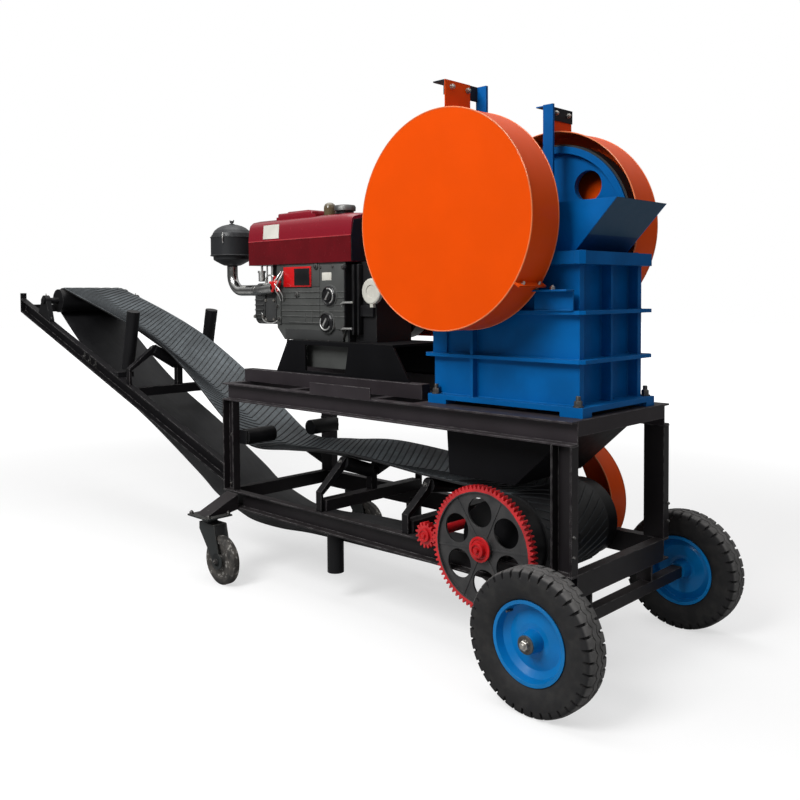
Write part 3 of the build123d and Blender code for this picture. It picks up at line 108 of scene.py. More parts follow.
def new_finish(name, fixed):
    """A material with its shader's fixed values set, the place on its surface, and its shader."""
    material = bpy.data.materials.new(name)
    material.use_nodes = True
    shader = material.node_tree.nodes["Principled BSDF"]
    for socket, value in fixed.items():
        shader.inputs[socket].default_value = value
    return material, Signal(material.node_tree).node("TexCoord", output=3), shader


def feed(shader, signals):
    """Join signals to the shader's own sockets."""
    for socket, signal in signals.items():
        signal.tree.links.new(signal.socket, shader.inputs[socket])


def noise(place, scale, detail=4.0, stretch=None):
    """Cloudy noise at a scale per metre, drawn out along an axis if stretch is given."""
    if stretch:
        place = place.node("Mapping", {}, {"Vector": place, "Scale": stretch})
    return place.node("TexNoise", {}, {"Vector": place, "Scale": scale, "Detail": detail})


def coordinate(place, axis):
    """One coordinate of a place or a direction."""
    return place.node("SeparateXYZ", {}, {0: place}, axis)


def relief(height, strength, depth=0.001, over=None):
    """A normal that shows a height in relief, on top of another normal if one is given."""
    inputs = {"Strength": strength, "Distance": depth, "Height": height}
    if over:
        inputs["Normal"] = over
    return height.node("Bump", {}, inputs)


def paint(
    name, colour, rubbed, dusty, gloss, dust=0.5, wear=0.5, coat=0.0, peel=0.05, split=None,
    cloudy=0.75, shine=0.2, edge_round=0.003
):
    """Paint over steel: cloudy colour, dust on top, rubbed edges, a second colour past a split."""
    fixed = {"Coat Weight": coat, "Coat Roughness": 0.12, "Specular IOR Level": shine}
    material, place, shader = new_finish(name, fixed)
    cloud = noise(place, 5.0)
    grime = noise(place, 22.0, 6.0)
    grain = noise(place, 190.0, 2.0)
    rounded = place.node("Bevel", {"samples": 4}, {"Radius": edge_round})
    normal = place.node("NewGeometry", output=1)
    level = normal.node("VectorMath", {"operation": "DOT_PRODUCT"}, {0: rounded, 1: normal}, 1)
    upward = coordinate(normal, 2)
    edge = (1 - level).rise(0.02, 0.2) * grime.rise(0.36, 0.62) * wear
    film = upward.rise(0.35, 0.95) * (0.45 + 0.55 * grime.rise(0.3, 0.7)) * dust
    deep = tuple(cloudy * part for part in colour)
    base = cloud.rise(0.3, 0.7).over(deep, colour)
    if split:
        axis, limit, other = split
        reach = abs(coordinate(place, axis))
        base = reach.rise(limit - 0.001, limit + 0.001).over(base, other)
    # Edges take the rubbed colour: wear, and on the black frame paints also a painted highlight.
    base = edge.over(film.over(base, dusty), rubbed)
    rough = gloss + 0.12 * grime + 0.3 * film + 0.1 * edge
    bump = relief(grain, peel, 0.002, rounded)
    feed(shader, {"Base Color": base, "Roughness": rough, "Normal": bump})
    return material


def dress(names, material):
    """Give CAD nodes a finish."""
    for name in names.split():
        nodes[name].data.materials.clear()
        nodes[name].data.materials.append(material)


# The pale edge grey of the black paints below is partly rubbed steel and partly a painted highlight
# along the flange edges.
rubbed_and_highlight_grey = (0.19, 0.18, 0.18)
frame_paint = paint(
    "frame_paint", (0.015, 0.0128, 0.0142), rubbed_and_highlight_grey, (0.046, 0.041, 0.041), gloss=0.34,
    wear=0.9, edge_round=0.006
)
dress("near_lower_beam far_lower_beam legs lower_cross_beams axle caster_arms", frame_paint)
# The deck beams and engine rails take a lighter copy of the frame's black, as painted light on
# their lit faces.
lit_deck_paint = paint(
    "lit_deck_paint", (0.031, 0.0255, 0.029), rubbed_and_highlight_grey, (0.06, 0.054, 0.056), gloss=0.34, wear=0.9,
    edge_round=0.006
)
dress("near_deck_beam far_deck_beam deck_cross_beams engine_rails", lit_deck_paint)
# The conveyor rails, cross beams and idler brackets take a darker copy of the frame's black, as
# painted shade.
shaded_rail_paint = paint(
    "shaded_rail_paint", (0.0075, 0.007, 0.008), rubbed_and_highlight_grey, (0.018, 0.017, 0.018), gloss=0.36,
    dust=0.4, wear=0.9, shine=0.12, edge_round=0.006
)
dress("near_conveyor_rail far_conveyor_rail conveyor_cross_beams idler_brackets", shaded_rail_paint)
# The discharge chute and engine stand take the darkest copy of the black, as painted shade.
painted_shade_black = paint(
    "painted_shade_black", (0.005, 0.005, 0.006), (0.06, 0.058, 0.055), (0.015, 0.014, 0.014), gloss=0.42,
    dust=0.4, shine=0.08
)
dress("discharge_chute engine_stand", painted_shade_black)


# Road wheels
# Farm tyres on pressed blue rims. The tread is rubber lugs, worn pale on top, with slots across
# each shoulder and zigzag grooves round the crown.
def axis_frame(axis):
    """Two directions square to an axis."""
    axis = Vector(axis).normalized()
    side = axis.orthogonal().normalized()
    return side, axis.cross(side), axis


def add_rings(shape, rings, closed=False):
    """Skin a run of equal rings of points, joined into a loop or capped at both ends."""
    made = [[shape.verts.new(point) for point in ring] for ring in rings]
    pairs = list(zip(made, made[1:]))
    if closed:
        pairs.append((made[-1], made[0]))
    for one, two in pairs:
        for step in range(len(one)):
            after = (step + 1) % len(one)
            shape.faces.new((one[step], one[after], two[after], two[step]))
    if not closed:
        shape.faces.new(made[0])
        shape.faces.new(made[-1][::-1])


def ring_round(middle, side, up, radius, steps):
    """Points round a circle that lies in two directions."""
    turns = [2 * math.pi * step / steps for step in range(steps)]
    return [middle + (side * math.cos(turn) + up * math.sin(turn)) * radius for turn in turns]


def add_turned(shape, profile, origin, axis, steps=32, closed=False):
    """Turn (radius, along) pairs about an axis through a point, capping open ends."""
    side, up, axis = axis_frame(axis)
    origin = Vector(origin)
    spots = [(origin + axis * along, radius) for radius, along in profile]
    add_rings(shape, [ring_round(spot, side, up, radius, steps) for spot, radius in spots], closed)


def settle(name, shape, material, body="machine_frame", sharp=34.0):
    """Make a finished shape a piece of the object that rides on a body."""
    bmesh.ops.recalc_face_normals(shape, faces=shape.faces)
    mesh = bpy.data.meshes.new(name)
    shape.to_mesh(mesh)
    shape.free()
    mesh.shade_smooth()
    mesh.set_sharp_from_angle(angle=math.radians(sharp))
    mesh.materials.append(material)
    made = bpy.data.objects.new(name, mesh)
    bpy.context.scene.collection.objects.link(made)
    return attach(made, body)


def from_axis(place, x, z):
    """Distance of a surface point from a cross shaft at (x, z)."""
    across = coordinate(place, 0) - x
    height = coordinate(place, 2) - z
    return (across * across + height * height) ** 0.5


def middle_of(node):
    """The middle of a node's box and half its height."""
    low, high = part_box(node)
    return (low + high) / 2, (high.z - low.z) / 2


def tyre_rubber(name, x, z, radius):
    """Rubber that is dark in the slots, dusty on the wall and worn pale on the lugs."""
    material, place, shader = new_finish(name, {"Specular IOR Level": 0.35})
    out = from_axis(place, x, z)
    smear = noise(place, 26.0, 6.0)
    grit = noise(place, 240.0, 3.0)
    worn = out.rise(radius - 0.012, radius - 0.003) * (0.6 + 0.4 * smear.rise(0.3, 0.6))
    wall = (1 - out.rise(radius - 0.03, radius - 0.012)) * smear.rise(0.35, 0.8)
    base = wall.over((0.011, 0.0108, 0.0115), (0.025, 0.024, 0.023))
    base = worn.over(base, (0.11, 0.107, 0.105))
    rough = 0.62 + 0.25 * smear
    bump = relief(grit, 0.25)
    feed(shader, {"Base Color": base, "Roughness": rough, "Normal": bump})
    return material


lug_count = 38
lug_depth = 0.011
slot_stations = (0.0, 0.03, 0.22, 0.25, 0.625)
zigzag = 0.006
for wheel in ("near", "far"):
    centre, radius = middle_of(f"{wheel}_tyre")
    low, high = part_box(f"{wheel}_tyre")
    half = (high.y - low.y) / 2
    lip = middle_of(f"{wheel}_wheel_rim")[1]
    rings = []
    for step in range(lug_count):
        for number, share in enumerate(slot_stations):
            turn = 2 * math.pi * (step + share) / lug_count
            swing = zigzag * (1 if number == 4 else -1)
            cut = lug_depth if number in (1, 2) else 0.0
            profile = [
                (0.345 * half, lip - 0.006),
                (0.69 * half, lip + 0.001),
                (0.8 * half, lip + 0.01),
                (0.93 * half, lip + 0.03),
                (1.0 * half, lip + 0.058),
                (0.985 * half, radius - 0.034),
                (0.97 * half - 0.75 * cut, radius - 0.026),
                (0.95 * half - 1.0 * cut, radius - 0.014 - 0.5 * cut),
                (0.82 * half, radius - 0.0045 - cut),
                (0.58 * half, radius - 0.0015 - cut),
                (0.5 * half, radius - 0.0012 - 0.4 * cut),
                (0.3 * half + swing, radius - 0.0006),
                (0.29 * half + swing, radius - lug_depth),
                (0.2 * half + swing, radius - lug_depth),
                (0.19 * half + swing, radius - 0.0004),
            ]
            other = [
                (-across + (2 * swing if 10 < place < 15 else 0.0), out)
                for place, (across, out) in enumerate(profile)
            ]
            round_x, round_z = math.cos(turn), math.sin(turn)
            ring = [
                centre + Vector((out * round_x, across, out * round_z))
                for across, out in profile + other[::-1]
            ]
            rings.append(ring)
    shape = bmesh.new()
    add_rings(shape, rings, closed=True)
    rubber = tyre_rubber(f"{wheel}_tyre_rubber", centre.x, centre.z, radius)
    tyre = settle(f"{wheel}_tyre_tread", shape, rubber, f"{wheel}_wheel", sharp=40.0)
    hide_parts(f"{wheel}_tyre")

rim_paint = paint(
    "rim_paint", (0.002, 0.19, 0.52), (0.12, 0.2, 0.35), (0.06, 0.12, 0.25), gloss=0.26, dust=0.0,
    wear=0.35, coat=0.12
)
dress("near_wheel_rim far_wheel_rim", rim_paint)


# Wheel nuts
# Each spindle ends in a washer, a castle nut and a greasy threaded end, with a dark bearing
# cover in the hub behind it.
def metal(name, colour, rough, streak=60.0, grease=0.4):
    """Bare machined steel with turning marks and patches of old grease."""
    material, place, shader = new_finish(name, {"Metallic": 1.0})
    patch = noise(place, 30.0, 5.0)
    marks = noise(place, streak, 3.0, (1.0, 8.0, 1.0))
    rounded = place.node("Bevel", {"samples": 4}, {"Radius": 0.0015})
    film = patch.rise(0.42, 0.68) * grease
    dark = tuple(0.25 * part for part in colour)
    base = film.over(marks.rise(0.3, 0.7).over(tuple(0.75 * p for p in colour), colour), dark)
    bump = relief(marks, 0.12, over=rounded)
    feed(shader, {"Base Color": base, "Roughness": rough + 0.25 * patch, "Normal": bump})
    return material


def add_hex(shape, place, out, across, height):
    """A six-sided head with its corners turned off, standing on a place."""
    half = across / math.sqrt(3)
    profile = [(half, 0.0), (half, 0.82 * height), (0.86 * half, height)]
    add_turned(shape, profile, place, out, 6)


def add_bolt(shape, place, out, across):
    """A washer, a hex nut and the end of its bolt."""
    out = Vector(out).normalized()
    place = Vector(place)
    washer = 0.12 * across
    add_turned(shape, [(0.62 * across, 0.0), (0.62 * across, washer)], place, out, 20)
    add_hex(shape, place + out * washer, out, across, 0.55 * across)
    stub = ((0.3, 0.5), (0.3, 0.86), (0.24, 0.92))
    add_turned(shape, [(wide * across, high * across) for wide, high in stub], place, out, 14)


bare_steel = metal("bare_steel", (0.56, 0.54, 0.5), 0.28)
dark_steel = metal("dark_steel", (0.16, 0.155, 0.15), 0.38)
for wheel, outward in (("near", -1), ("far", 1)):
    centre = middle_of(f"{wheel}_tyre")[0]
    low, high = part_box(f"{wheel}_wheel_rim")
    face = high.y if outward > 0 else low.y
    out = (0, outward, 0)
    hub_end = (centre.x, face, centre.z)
    shape = bmesh.new()
    cover = [(0.022, -0.004), (0.036, -0.004), (0.036, 0.004), (0.03, 0.006), (0.022, 0.006)]
    add_turned(shape, cover, hub_end, out, 40, closed=True)
    settle(f"{wheel}_hub_cover", shape, dark_steel, f"{wheel}_wheel")
    shape = bmesh.new()
    add_turned(shape, [(0.021, -0.002), (0.021, 0.0075)], hub_end, out, 32)
    nut_place = Vector(hub_end) + Vector(out) * 0.0075
    add_hex(shape, nut_place, out, 0.036, 0.013)
    add_turned(shape, [(0.0105, 0.012), (0.0105, 0.018), (0.009, 0.02)], nut_place, out, 20)
    settle(f"{wheel}_hub_nut", shape, bare_steel)
    shape = bmesh.new()
    valve = (centre.x - 0.1, face - outward * 0.052, centre.z + 0.1)
    add_turned(
        shape, [(0.006, 0.0), (0.0055, 0.026), (0.004, 0.028), (0.004, 0.04)], valve, out, 14
    )
    settle(f"{wheel}_valve", shape, dark_steel, f"{wheel}_wheel")


# Frame welds and bolts
# Stick welds where the legs meet the beams, left lumpy under the paint, and the bolts on the legs
# that hold the wheel stays and the hold-down rollers.
def add_tube(shape, points, radius, steps=10, closed=False):
    """A round bar along points, with one radius or one for each point."""
    points = [Vector(point) for point in points]
    radii = radius if isinstance(radius, list) else [radius] * len(points)
    side = None
    rings = []
    for number, point in enumerate(points):
        if closed:
            back, ahead = points[number - 1], points[(number + 1) % len(points)]
        else:
            back, ahead = points[max(0, number - 1)], points[min(len(points) - 1, number + 1)]
        along = (ahead - back).normalized()
        side = along.orthogonal() if side is None else side - along * side.dot(along)
        side.normalize()
        up = along.cross(side)
        rings.append(ring_round(point, side, up, radii[number], steps))
    add_rings(shape, rings, closed)


dice = random.Random(7)


def add_weld(shape, start, end, radius=0.004):
    """A lumpy bead of weld between two points."""
    start, end = Vector(start), Vector(end)
    count = max(3, round((end - start).length / (1.2 * radius)))
    points = [start.lerp(end, part / count) for part in range(count + 1)]
    sizes = [1.05 if part % 2 else 0.75 for part in range(count + 1)]
    radii = [radius * size * dice.uniform(0.85, 1.15) for size in sizes]
    add_tube(shape, points, radii, 6)


beam_low, beam_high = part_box("near_lower_beam")
deck_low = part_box("near_deck_beam")[0]
channel = beam_high.z - beam_low.z
web_thick = 0.0053
web_y = -beam_high.y + web_thick
shape = bmesh.new()
for side in (-1, 1):
    inner, tip = side * abs(beam_high.y), side * abs(beam_low.y)
    for leg_low in (beam_low.x, beam_high.x - channel):
        for height in (beam_high.z, deck_low.z):
            for x in (leg_low, leg_low + channel):
                add_weld(shape, (x, inner, height), (x, tip, height))
            web = side * web_y
            add_weld(shape, (leg_low + 0.01, web, height), (leg_low + 0.09, web, height))
    for height in (beam_low.z, deck_low.z + 0.036):
        end = beam_high.x - 0.048
        add_weld(shape, (end, inner - side * 0.12, height), (end, inner, height))
settle("frame_welds", shape, frame_paint)
stay_heights, hold_down_z = (0.562, 0.644), 0.803
shape = bmesh.new()
for side in (-1, 1):
    for height in stay_heights:
        add_bolt(shape, (beam_high.x, side * 0.397, height), (1, 0, 0), 0.013)
    add_bolt(shape, (beam_low.x + 0.047, side * web_y, hold_down_z), (0, side, 0), 0.022)
    for x in (beam_low.x + 0.03, beam_low.x + 0.07):
        add_bolt(shape, (x, side * web_y, beam_high.z + 0.03), (0, side, 0), 0.018)
settle("leg_bolts", shape, dark_steel)


# Casters
# A pressed swivel fork under each outrigger plate, with a solid wheel that is scuffed grey and
# still has flakes of old pale paint on it.
caster_paint = paint(
    "caster_paint", (0.026, 0.029, 0.029), (0.2, 0.19, 0.17), (0.1, 0.09, 0.08), gloss=0.42,
    dust=0.3, wear=0.9
)
dress("near_caster_fork far_caster_fork", caster_paint)


def add_block(shape, low, high, round_off=0.002):
    """A rectangular bar with its edges taken off."""
    low, high = Vector(low), Vector(high)
    corners = bmesh.ops.create_cube(shape, size=1.0)["verts"]
    bmesh.ops.scale(shape, vec=high - low, verts=corners)
    bmesh.ops.translate(shape, vec=(low + high) / 2, verts=corners)
    edges = list({edge for corner in corners for edge in corner.link_edges})
    bmesh.ops.bevel(shape, geom=edges, offset=round_off, segments=2, affect="EDGES", profile=0.5)


plate_thick = 0.01
for wheel in ("near", "far"):
    fork_low, fork_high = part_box(f"{wheel}_caster_fork")
    pivot = Vector((fork_low.x + 0.044, (fork_low.y + fork_high.y) / 2, fork_high.z + 0.001))
    shape = bmesh.new()
    add_block(shape, pivot - Vector((0.1, 0.085, 0)), pivot + Vector((0.1, 0.085, plate_thick)))
    plate = settle(f"{wheel}_caster_plate", shape, caster_paint)
    shape = bmesh.new()
    for across in (-0.084, 0.084):
        for along in (-0.067, 0.067):
            add_bolt(shape, pivot + Vector((across, along, plate_thick)), (0, 0, 1), 0.021)
    settle(f"{wheel}_caster_bolts", shape, dark_steel)
    shape = bmesh.new()
    axle_spot = Vector((fork_high.x - 0.028, pivot.y, fork_low.z + 0.026))
    reach = (fork_high.y - fork_low.y) / 2 - 0.008
    for out in (-1, 1):
        add_bolt(shape, axle_spot + Vector((0, out * reach, 0)), (0, out, 0), 0.024)
    settle(f"{wheel}_caster_axle_nuts", shape, dark_steel, f"{wheel}_caster_swivel")
    shape = bmesh.new()
    for out in (-1, 1):
        cheek = axle_spot + Vector((0, out * (reach - 0.006), 0))
        add_turned(shape, [(0.048, 0.0), (0.048, 0.004), (0.044, 0.006)], cheek, (0, out, 0), 36)
    cheeks = settle(f"{wheel}_fork_cheeks", shape, caster_paint, f"{wheel}_caster_swivel")


def scuffed_rubber():
    """Hard rubber, grey where it has rolled, with pale flakes."""
    material, place, shader = new_finish("scuffed_rubber", {"Specular IOR Level": 0.3})
    smear = noise(place, 16.0, 6.0)
    flake = noise(place, 44.0, 8.0)
    base = smear.rise(0.32, 0.68).over((0.024, 0.023, 0.022), (0.085, 0.078, 0.07))
    base = (flake.rise(0.57, 0.63) * smear.rise(0.4, 0.6)).over(base, (0.3, 0.29, 0.27))
    bump = relief(flake, 0.5, 0.002)
    feed(shader, {"Base Color": base, "Roughness": 0.6 + 0.3 * smear, "Normal": bump})
    return material


dress("near_caster_wheel far_caster_wheel", scuffed_rubber())


# Conveyor belt
# One endless rubber belt, troughed over its rollers and slack on the way back, with fine moulded
# ribs across it in a shallow V. Stone dust has greyed the flats between the ribs.
def drum_axis(node):
    """Axis of a drum in the machine's side view."""
    centre = middle_of(node)[0]
    return Vector((centre.x, centre.z))


belt_points = [vertex.co.copy() for vertex in nodes["conveyor_belt"].data.vertices]
belt_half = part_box("conveyor_belt")[1].y
head_axis = drum_axis("head_drum")
tail_axis = drum_axis("tail_drum")
hair = 1e-4
station_gap = 0.006
crease = [point for point in belt_points if abs(point.y) < hair]
crease.sort(key=lambda point: -point.x)
carry = []
for point in crease:
    if carry and abs(point.x - carry[-1][0]) < station_gap:
        if point.z > carry[-1][1]:
            carry[-1] = (point.x, point.z)
    else:
        carry.append((point.x, point.z))
wing = [point for point in belt_points if point.y < -0.7 * belt_half]
stations = []
for x, z in carry:
    edges = [point for point in wing if abs(point.x - x) < station_gap]
    edge = max(edges, key=lambda point: point.z)
    stations.append((Vector((x, z)), math.atan2(max(0.0, edge.z - z), -edge.y)))
wrap_head = (stations[-1][0] - head_axis).length
wrap_tail = (stations[0][0] - tail_axis).length
slack = {}
for point in belt_points:
    flat = Vector((point.x, point.z))
    clear = min((flat - head_axis).length - wrap_head, (flat - tail_axis).length - wrap_tail)
    if abs(point.y + belt_half) < hair and clear > 0.004:
        key = round(point.x, 3)
        slack[key] = min(slack.get(key, math.inf), point.z)


def tautness(x):
    """How much of the lift the return run gets at x, where the rail hides its sag."""
    rise = min(1.0, max(0.0, (x - lift_start) / lift_ease))
    fall = min(1.0, max(0.0, (lift_end - x) / lift_ease))
    return rise * fall


belt_lift = 0.06
lift_start, lift_end, lift_ease = -2.2, 0.1, 0.7
returns = [Vector((x, slack[x] + belt_lift * tautness(x))) for x in sorted(slack)]


def spline(points, step):
    """Evenly stepped points on a smooth curve through points of any size."""
    points = [Vector(point) for point in points]
    run = [points[0] * 2 - points[1], *points, points[-1] * 2 - points[-2]]
    made = []
    for number in range(1, len(run) - 2):
        before, one, two, after = run[number - 1 : number + 3]
        count = max(2, round((two - one).length / step))
        for part in range(count):
            t = part / count
            made.append(
                0.5
                * (
                    2 * one
                    + (two - before) * t
                    + (2 * before - 5 * one + 4 * two - after) * t**2
                    + (3 * one - before - 3 * two + after) * t**3
                )
            )
    return made + [points[-1]]


def arc(axis, radius, start, end, step):
    """Points round a drum from one angle to another."""
    count = round(abs(end - start) * radius / step)
    angles = [start + (end - start) * part / count for part in range(1, count)]
    return [axis + radius * Vector((math.cos(angle), math.sin(angle))) for angle in angles]


belt_step = 0.02
belt_path = spline([(*place, trough) for place, trough in stations], belt_step)
carry_count = len(belt_path)
leave = stations[-1][0] - head_axis
meet = returns[0] - head_axis
meet_angle = math.atan2(meet.y, meet.x) % (2 * math.pi)
tangent_angle = meet_angle - math.acos(min(1.0, wrap_head / meet.length))
turn_down = arc(head_axis, wrap_head, math.atan2(leave.y, leave.x), tangent_angle, belt_step)
lift_off = head_axis + wrap_head * Vector((math.cos(tangent_angle), math.sin(tangent_angle)))
under_tail = tail_axis - Vector((0, wrap_tail))
way_back = spline([lift_off, *returns, under_tail], belt_step)
turn_up = arc(tail_axis, wrap_tail, -math.pi / 2, math.pi / 2, belt_step)
belt_path += [Vector((*place, 0.0)) for place in turn_down + way_back + turn_up]
belt_run = [0.0]
for one, two in zip(belt_path, belt_path[1:] + belt_path[:1]):
    belt_run.append(belt_run[-1] + (two.xy - one.xy).length)
crease_round = 0.025
wing_reach = math.hypot(belt_half, crease_round) - crease_round


def belt_at(index, across, lift):
    """A point on the belt: a place along its path, across its width, above its outer face."""
    count = len(belt_path)
    number = math.floor(index)
    one, two = belt_path[number % count], belt_path[(number + 1) % count]
    place = one.lerp(two, index - number)
    back, ahead = belt_path[(number - 1) % count], belt_path[(number + 2) % count]
    along = (ahead.xy - back.xy).normalized()
    out = Vector((along.y, -along.x))
    wing = (math.hypot(across, crease_round) - crease_round) * belt_half / wing_reach
    spot = place.xy + out * (wing * math.sin(place.z) + lift)
    return Vector((spot.x, across * math.cos(place.z), spot.y))


def belt_index(run):
    """The place on the path after a run of belt."""
    run = run % belt_run[-1]
    low = bisect.bisect_right(belt_run, run) - 1
    return low + (run - belt_run[low]) / (belt_run[low + 1] - belt_run[low])


def belt_rubber(name, flat, dusty, dust):
    """Matt rubber with stone dust rubbed into it."""
    material, place, shader = new_finish(name, {"Specular IOR Level": 0.4})
    smear = noise(place, 4.0, 5.0)
    streak = noise(place, 40.0, 4.0, (0.15, 1.0, 0.4))
    grit = noise(place, 300.0, 2.0)
    film = smear.rise(0.3, 0.75) * (0.5 + 0.5 * streak.rise(0.35, 0.65)) * dust
    bump = relief(grit, 0.15)
    base = film.over(flat, dusty)
    feed(shader, {"Base Color": base, "Roughness": 0.46 + 0.2 * streak, "Normal": bump})
    return material


belt_thick = 0.0095
spread = [belt_half * (step / 7.0) for step in range(-7, 8)]
belt_edge = (-0.002, -0.0075)
rings = []
for number in range(len(belt_path)):
    ring = [belt_at(number, across, 0.0) for across in spread]
    ring += [belt_at(number, belt_half, lift) for lift in belt_edge]
    ring += [belt_at(number, across, -belt_thick) for across in reversed(spread)]
    ring += [belt_at(number, -belt_half, lift) for lift in reversed(belt_edge)]
    rings.append(ring)
shape = bmesh.new()
add_rings(shape, rings, closed=True)
belt_flat = belt_rubber("belt_flat", (0.032, 0.038, 0.042), (0.105, 0.122, 0.132), 0.9)
last_shown = carry_count + 8
for number, face in enumerate(shape.faces):
    pair, step = divmod(number, len(rings[0]))
    face.material_index = 0 if pair < last_shown and step < len(spread) - 1 else 1
belt = settle("belt_band", shape, belt_flat, sharp=50.0)
belt_under = belt_rubber("belt_under", (0.006, 0.006, 0.007), (0.018, 0.018, 0.019), 0.7)
belt.data.materials.append(belt_under)
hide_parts("conveyor_belt")

rib_pitch = 0.046
rib_lean = 0.5
rib_section = [(-0.0055, -0.001), (-0.0036, 0.0036), (0.0036, 0.0036), (0.0055, -0.001)]
rib_half = belt_half - 0.014
rib_spread = [rib_half * (step / 9.0) for step in range(-9, 10)]
shape = bmesh.new()
for number in range(int(belt_run[-1] / rib_pitch)):
    rings = []
    for across in rib_spread:
        run = number * rib_pitch + rib_lean * abs(across)
        section = [(belt_index(run + ahead), lift) for ahead, lift in rib_section]
        rings.append([belt_at(index, across, lift) for index, lift in section])
    add_rings(shape, rings)
# The ribs are painted darker than the flats: partly cleaner rubber with less dust, and partly
# painted shade along their sides.
rib_rubber_clean_and_shade = belt_rubber("belt_rib", (0.012, 0.014, 0.016), (0.03, 0.034, 0.037), 0.6)
ribs = settle("belt_ribs", shape, rib_rubber_clean_and_shade)


# Conveyor rollers and bearings
# Turned steel drums and rollers on shafts in cast pillow blocks, which are bolted to the rails and
# the frame. All are painted over in black with the frame.
roller_paint = paint(
    "roller_paint", (0.009, 0.009, 0.01), (0.13, 0.13, 0.125), (0.05, 0.047, 0.045), gloss=0.3,
    dust=0.4, wear=0.8, shine=0.14
)
dress("idler_rollers guide_rollers hold_down_rollers tail_drum head_drum", roller_paint)
dress("tail_bearings countershaft_bearings head_bearings countershaft_pulley", roller_paint)


# Conveyor fastenings
# Nuts and washers on the bearing feet, grease nipples on the housings, nuts on the ends of the
# idler axles, and the take-up slots with their bolts on the rails.
def foot_ends(node, side):
    """The top corners of a bearing's foot on one side of the machine, rear one first."""
    points = [point.co for point in nodes[node].data.vertices if point.co.y * side > 0]
    made = []
    for end in (min(point.x for point in points), max(point.x for point in points)):
        made.append((end, max(point.z for point in points if abs(point.x - end) < hair)))
    return made


bearing_y = (abs(beam_low.y) + abs(beam_high.y)) / 2
shape = bmesh.new()
nipples = bmesh.new()
for node in ("head_bearings", "tail_bearings", "countershaft_bearings"):
    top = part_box(node)[1].z
    for side in (-1, 1):
        (rear_x, rear_z), (front_x, front_z) = foot_ends(node, side)
        add_bolt(shape, (rear_x + 0.016, side * bearing_y, rear_z + 0.004), (-0.2, 0, 1), 0.022)
        add_bolt(shape, (front_x - 0.016, side * bearing_y, front_z + 0.004), (0.2, 0, 1), 0.022)
        middle = ((rear_x + front_x) / 2, side * bearing_y, top - 0.002)
        nipple = [(0.006, 0.0), (0.006, 0.006), (0.0035, 0.008), (0.0035, 0.012), (0.0045, 0.015)]
        add_turned(nipples, nipple, middle, (0, 0, 1), 12)
for x, out_y, height, trough in (
    (-1.0384, 0.1977, 1.2479, 31.0),
    (0.9115, 0.2158, 0.7157, 19.0),
    (1.5315, 0.225, 0.6892, 8.0),
):
    lean = math.radians(trough)
    for side in (-1, 1):
        out = Vector((0, side * math.cos(lean), math.sin(lean)))
        add_bolt(shape, Vector((x, side * out_y, height)) + out * 0.008, out, 0.026)
settle("bearing_bolts", shape, dark_steel)
settle("grease_nipples", nipples, bare_steel)
shape = bmesh.new()
for side in (-1, 1):
    for x, height in ((-1.707, 1.181), (-1.624, 1.152), (-1.541, 1.123)):
        spot = Vector((x, side * web_y, height))
        add_block(shape, spot - Vector((0.009, 0.005, 0.03)), spot + Vector((0.009, 0.005, 0.03)))
        add_bolt(shape, spot + Vector((0, side * 0.005, 0)), (0, side, 0), 0.016)
settle("take_up_bolts", shape, dark_steel)


# Final drive
# A cast ring gear and its pinion. The rim, teeth and hub are brushed red over the black casting,
# and the tooth flanks are greasy.
def gear_paint(name, x, z, hub, rim):
    """Red paint on the hub and rim of a wheel that is black between them."""
    material, place, shader = new_finish(name, {"Coat Weight": 0.2, "Coat Roughness": 0.2})
    out = from_axis(place, x, z)
    patch = noise(place, 18.0, 6.0)
    grain = noise(place, 150.0, 3.0)
    rounded = place.node("Bevel", {"samples": 4}, {"Radius": 0.002})
    shift = (patch - 0.5) * 0.004
    red = (out + shift).rise(rim - 0.001, rim + 0.001) + (1 - (out + shift).rise(hub, hub + 0.002))
    dark = patch.rise(0.3, 0.7).over((0.016, 0.016, 0.017), (0.034, 0.033, 0.033))
    bright = patch.rise(0.3, 0.75).over((0.36, 0.006, 0.01), (0.62, 0.012, 0.016))
    bump = relief(grain, 0.2, 0.002, rounded)
    rough = 0.38 + 0.2 * patch
    feed(shader, {"Base Color": red.over(dark, bright), "Roughness": rough, "Normal": bump})
    return material


gear_middle, gear_radius = middle_of("drive_gear")
rim_inside = gear_radius - 0.027
dress("drive_gear", gear_paint("gear_paint", gear_middle.x, gear_middle.z, 0.048, rim_inside))
pinion_low, pinion_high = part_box("pinion_shaft")
pinion_middle = (pinion_low + pinion_high) / 2
dress("pinion_shaft", gear_paint("pinion_paint", pinion_middle.x, gear_middle.z, 0.3, 0.4))

shape = bmesh.new()
gear_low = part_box("drive_gear")[0]
hub_cap = [
    (0.055, -0.004), (0.055, 0.004), (0.05, 0.006), (0.044, 0.006), (0.042, 0.003), (0.034, 0.003),
    (0.033, 0.024), (0.024, 0.027), (0.021, 0.02), (0.012, 0.02), (0.01, 0.032)
]
add_turned(shape, hub_cap, (gear_middle.x, gear_low.y, gear_middle.z), (0, -1, 0), 48)
hub_red = paint(
    "hub_red", (0.6, 0.008, 0.012), (0.5, 0.1, 0.08), (0.4, 0.06, 0.05), gloss=0.32, dust=0.1,
    wear=0.2, coat=0.3
)
cap = settle("gear_hub_cap", shape, hub_red, "tail_drive")
shape = bmesh.new()
pinion_cap = [
    (0.03, -0.002), (0.03, 0.005), (0.022, 0.006), (0.021, 0.002), (0.012, 0.002), (0.01, 0.01)
]
add_turned(shape, pinion_cap, (pinion_middle.x, pinion_low.y, gear_middle.z), (0, -1, 0), 32)
cap = settle("pinion_hub_cap", shape, hub_red, "countershaft")


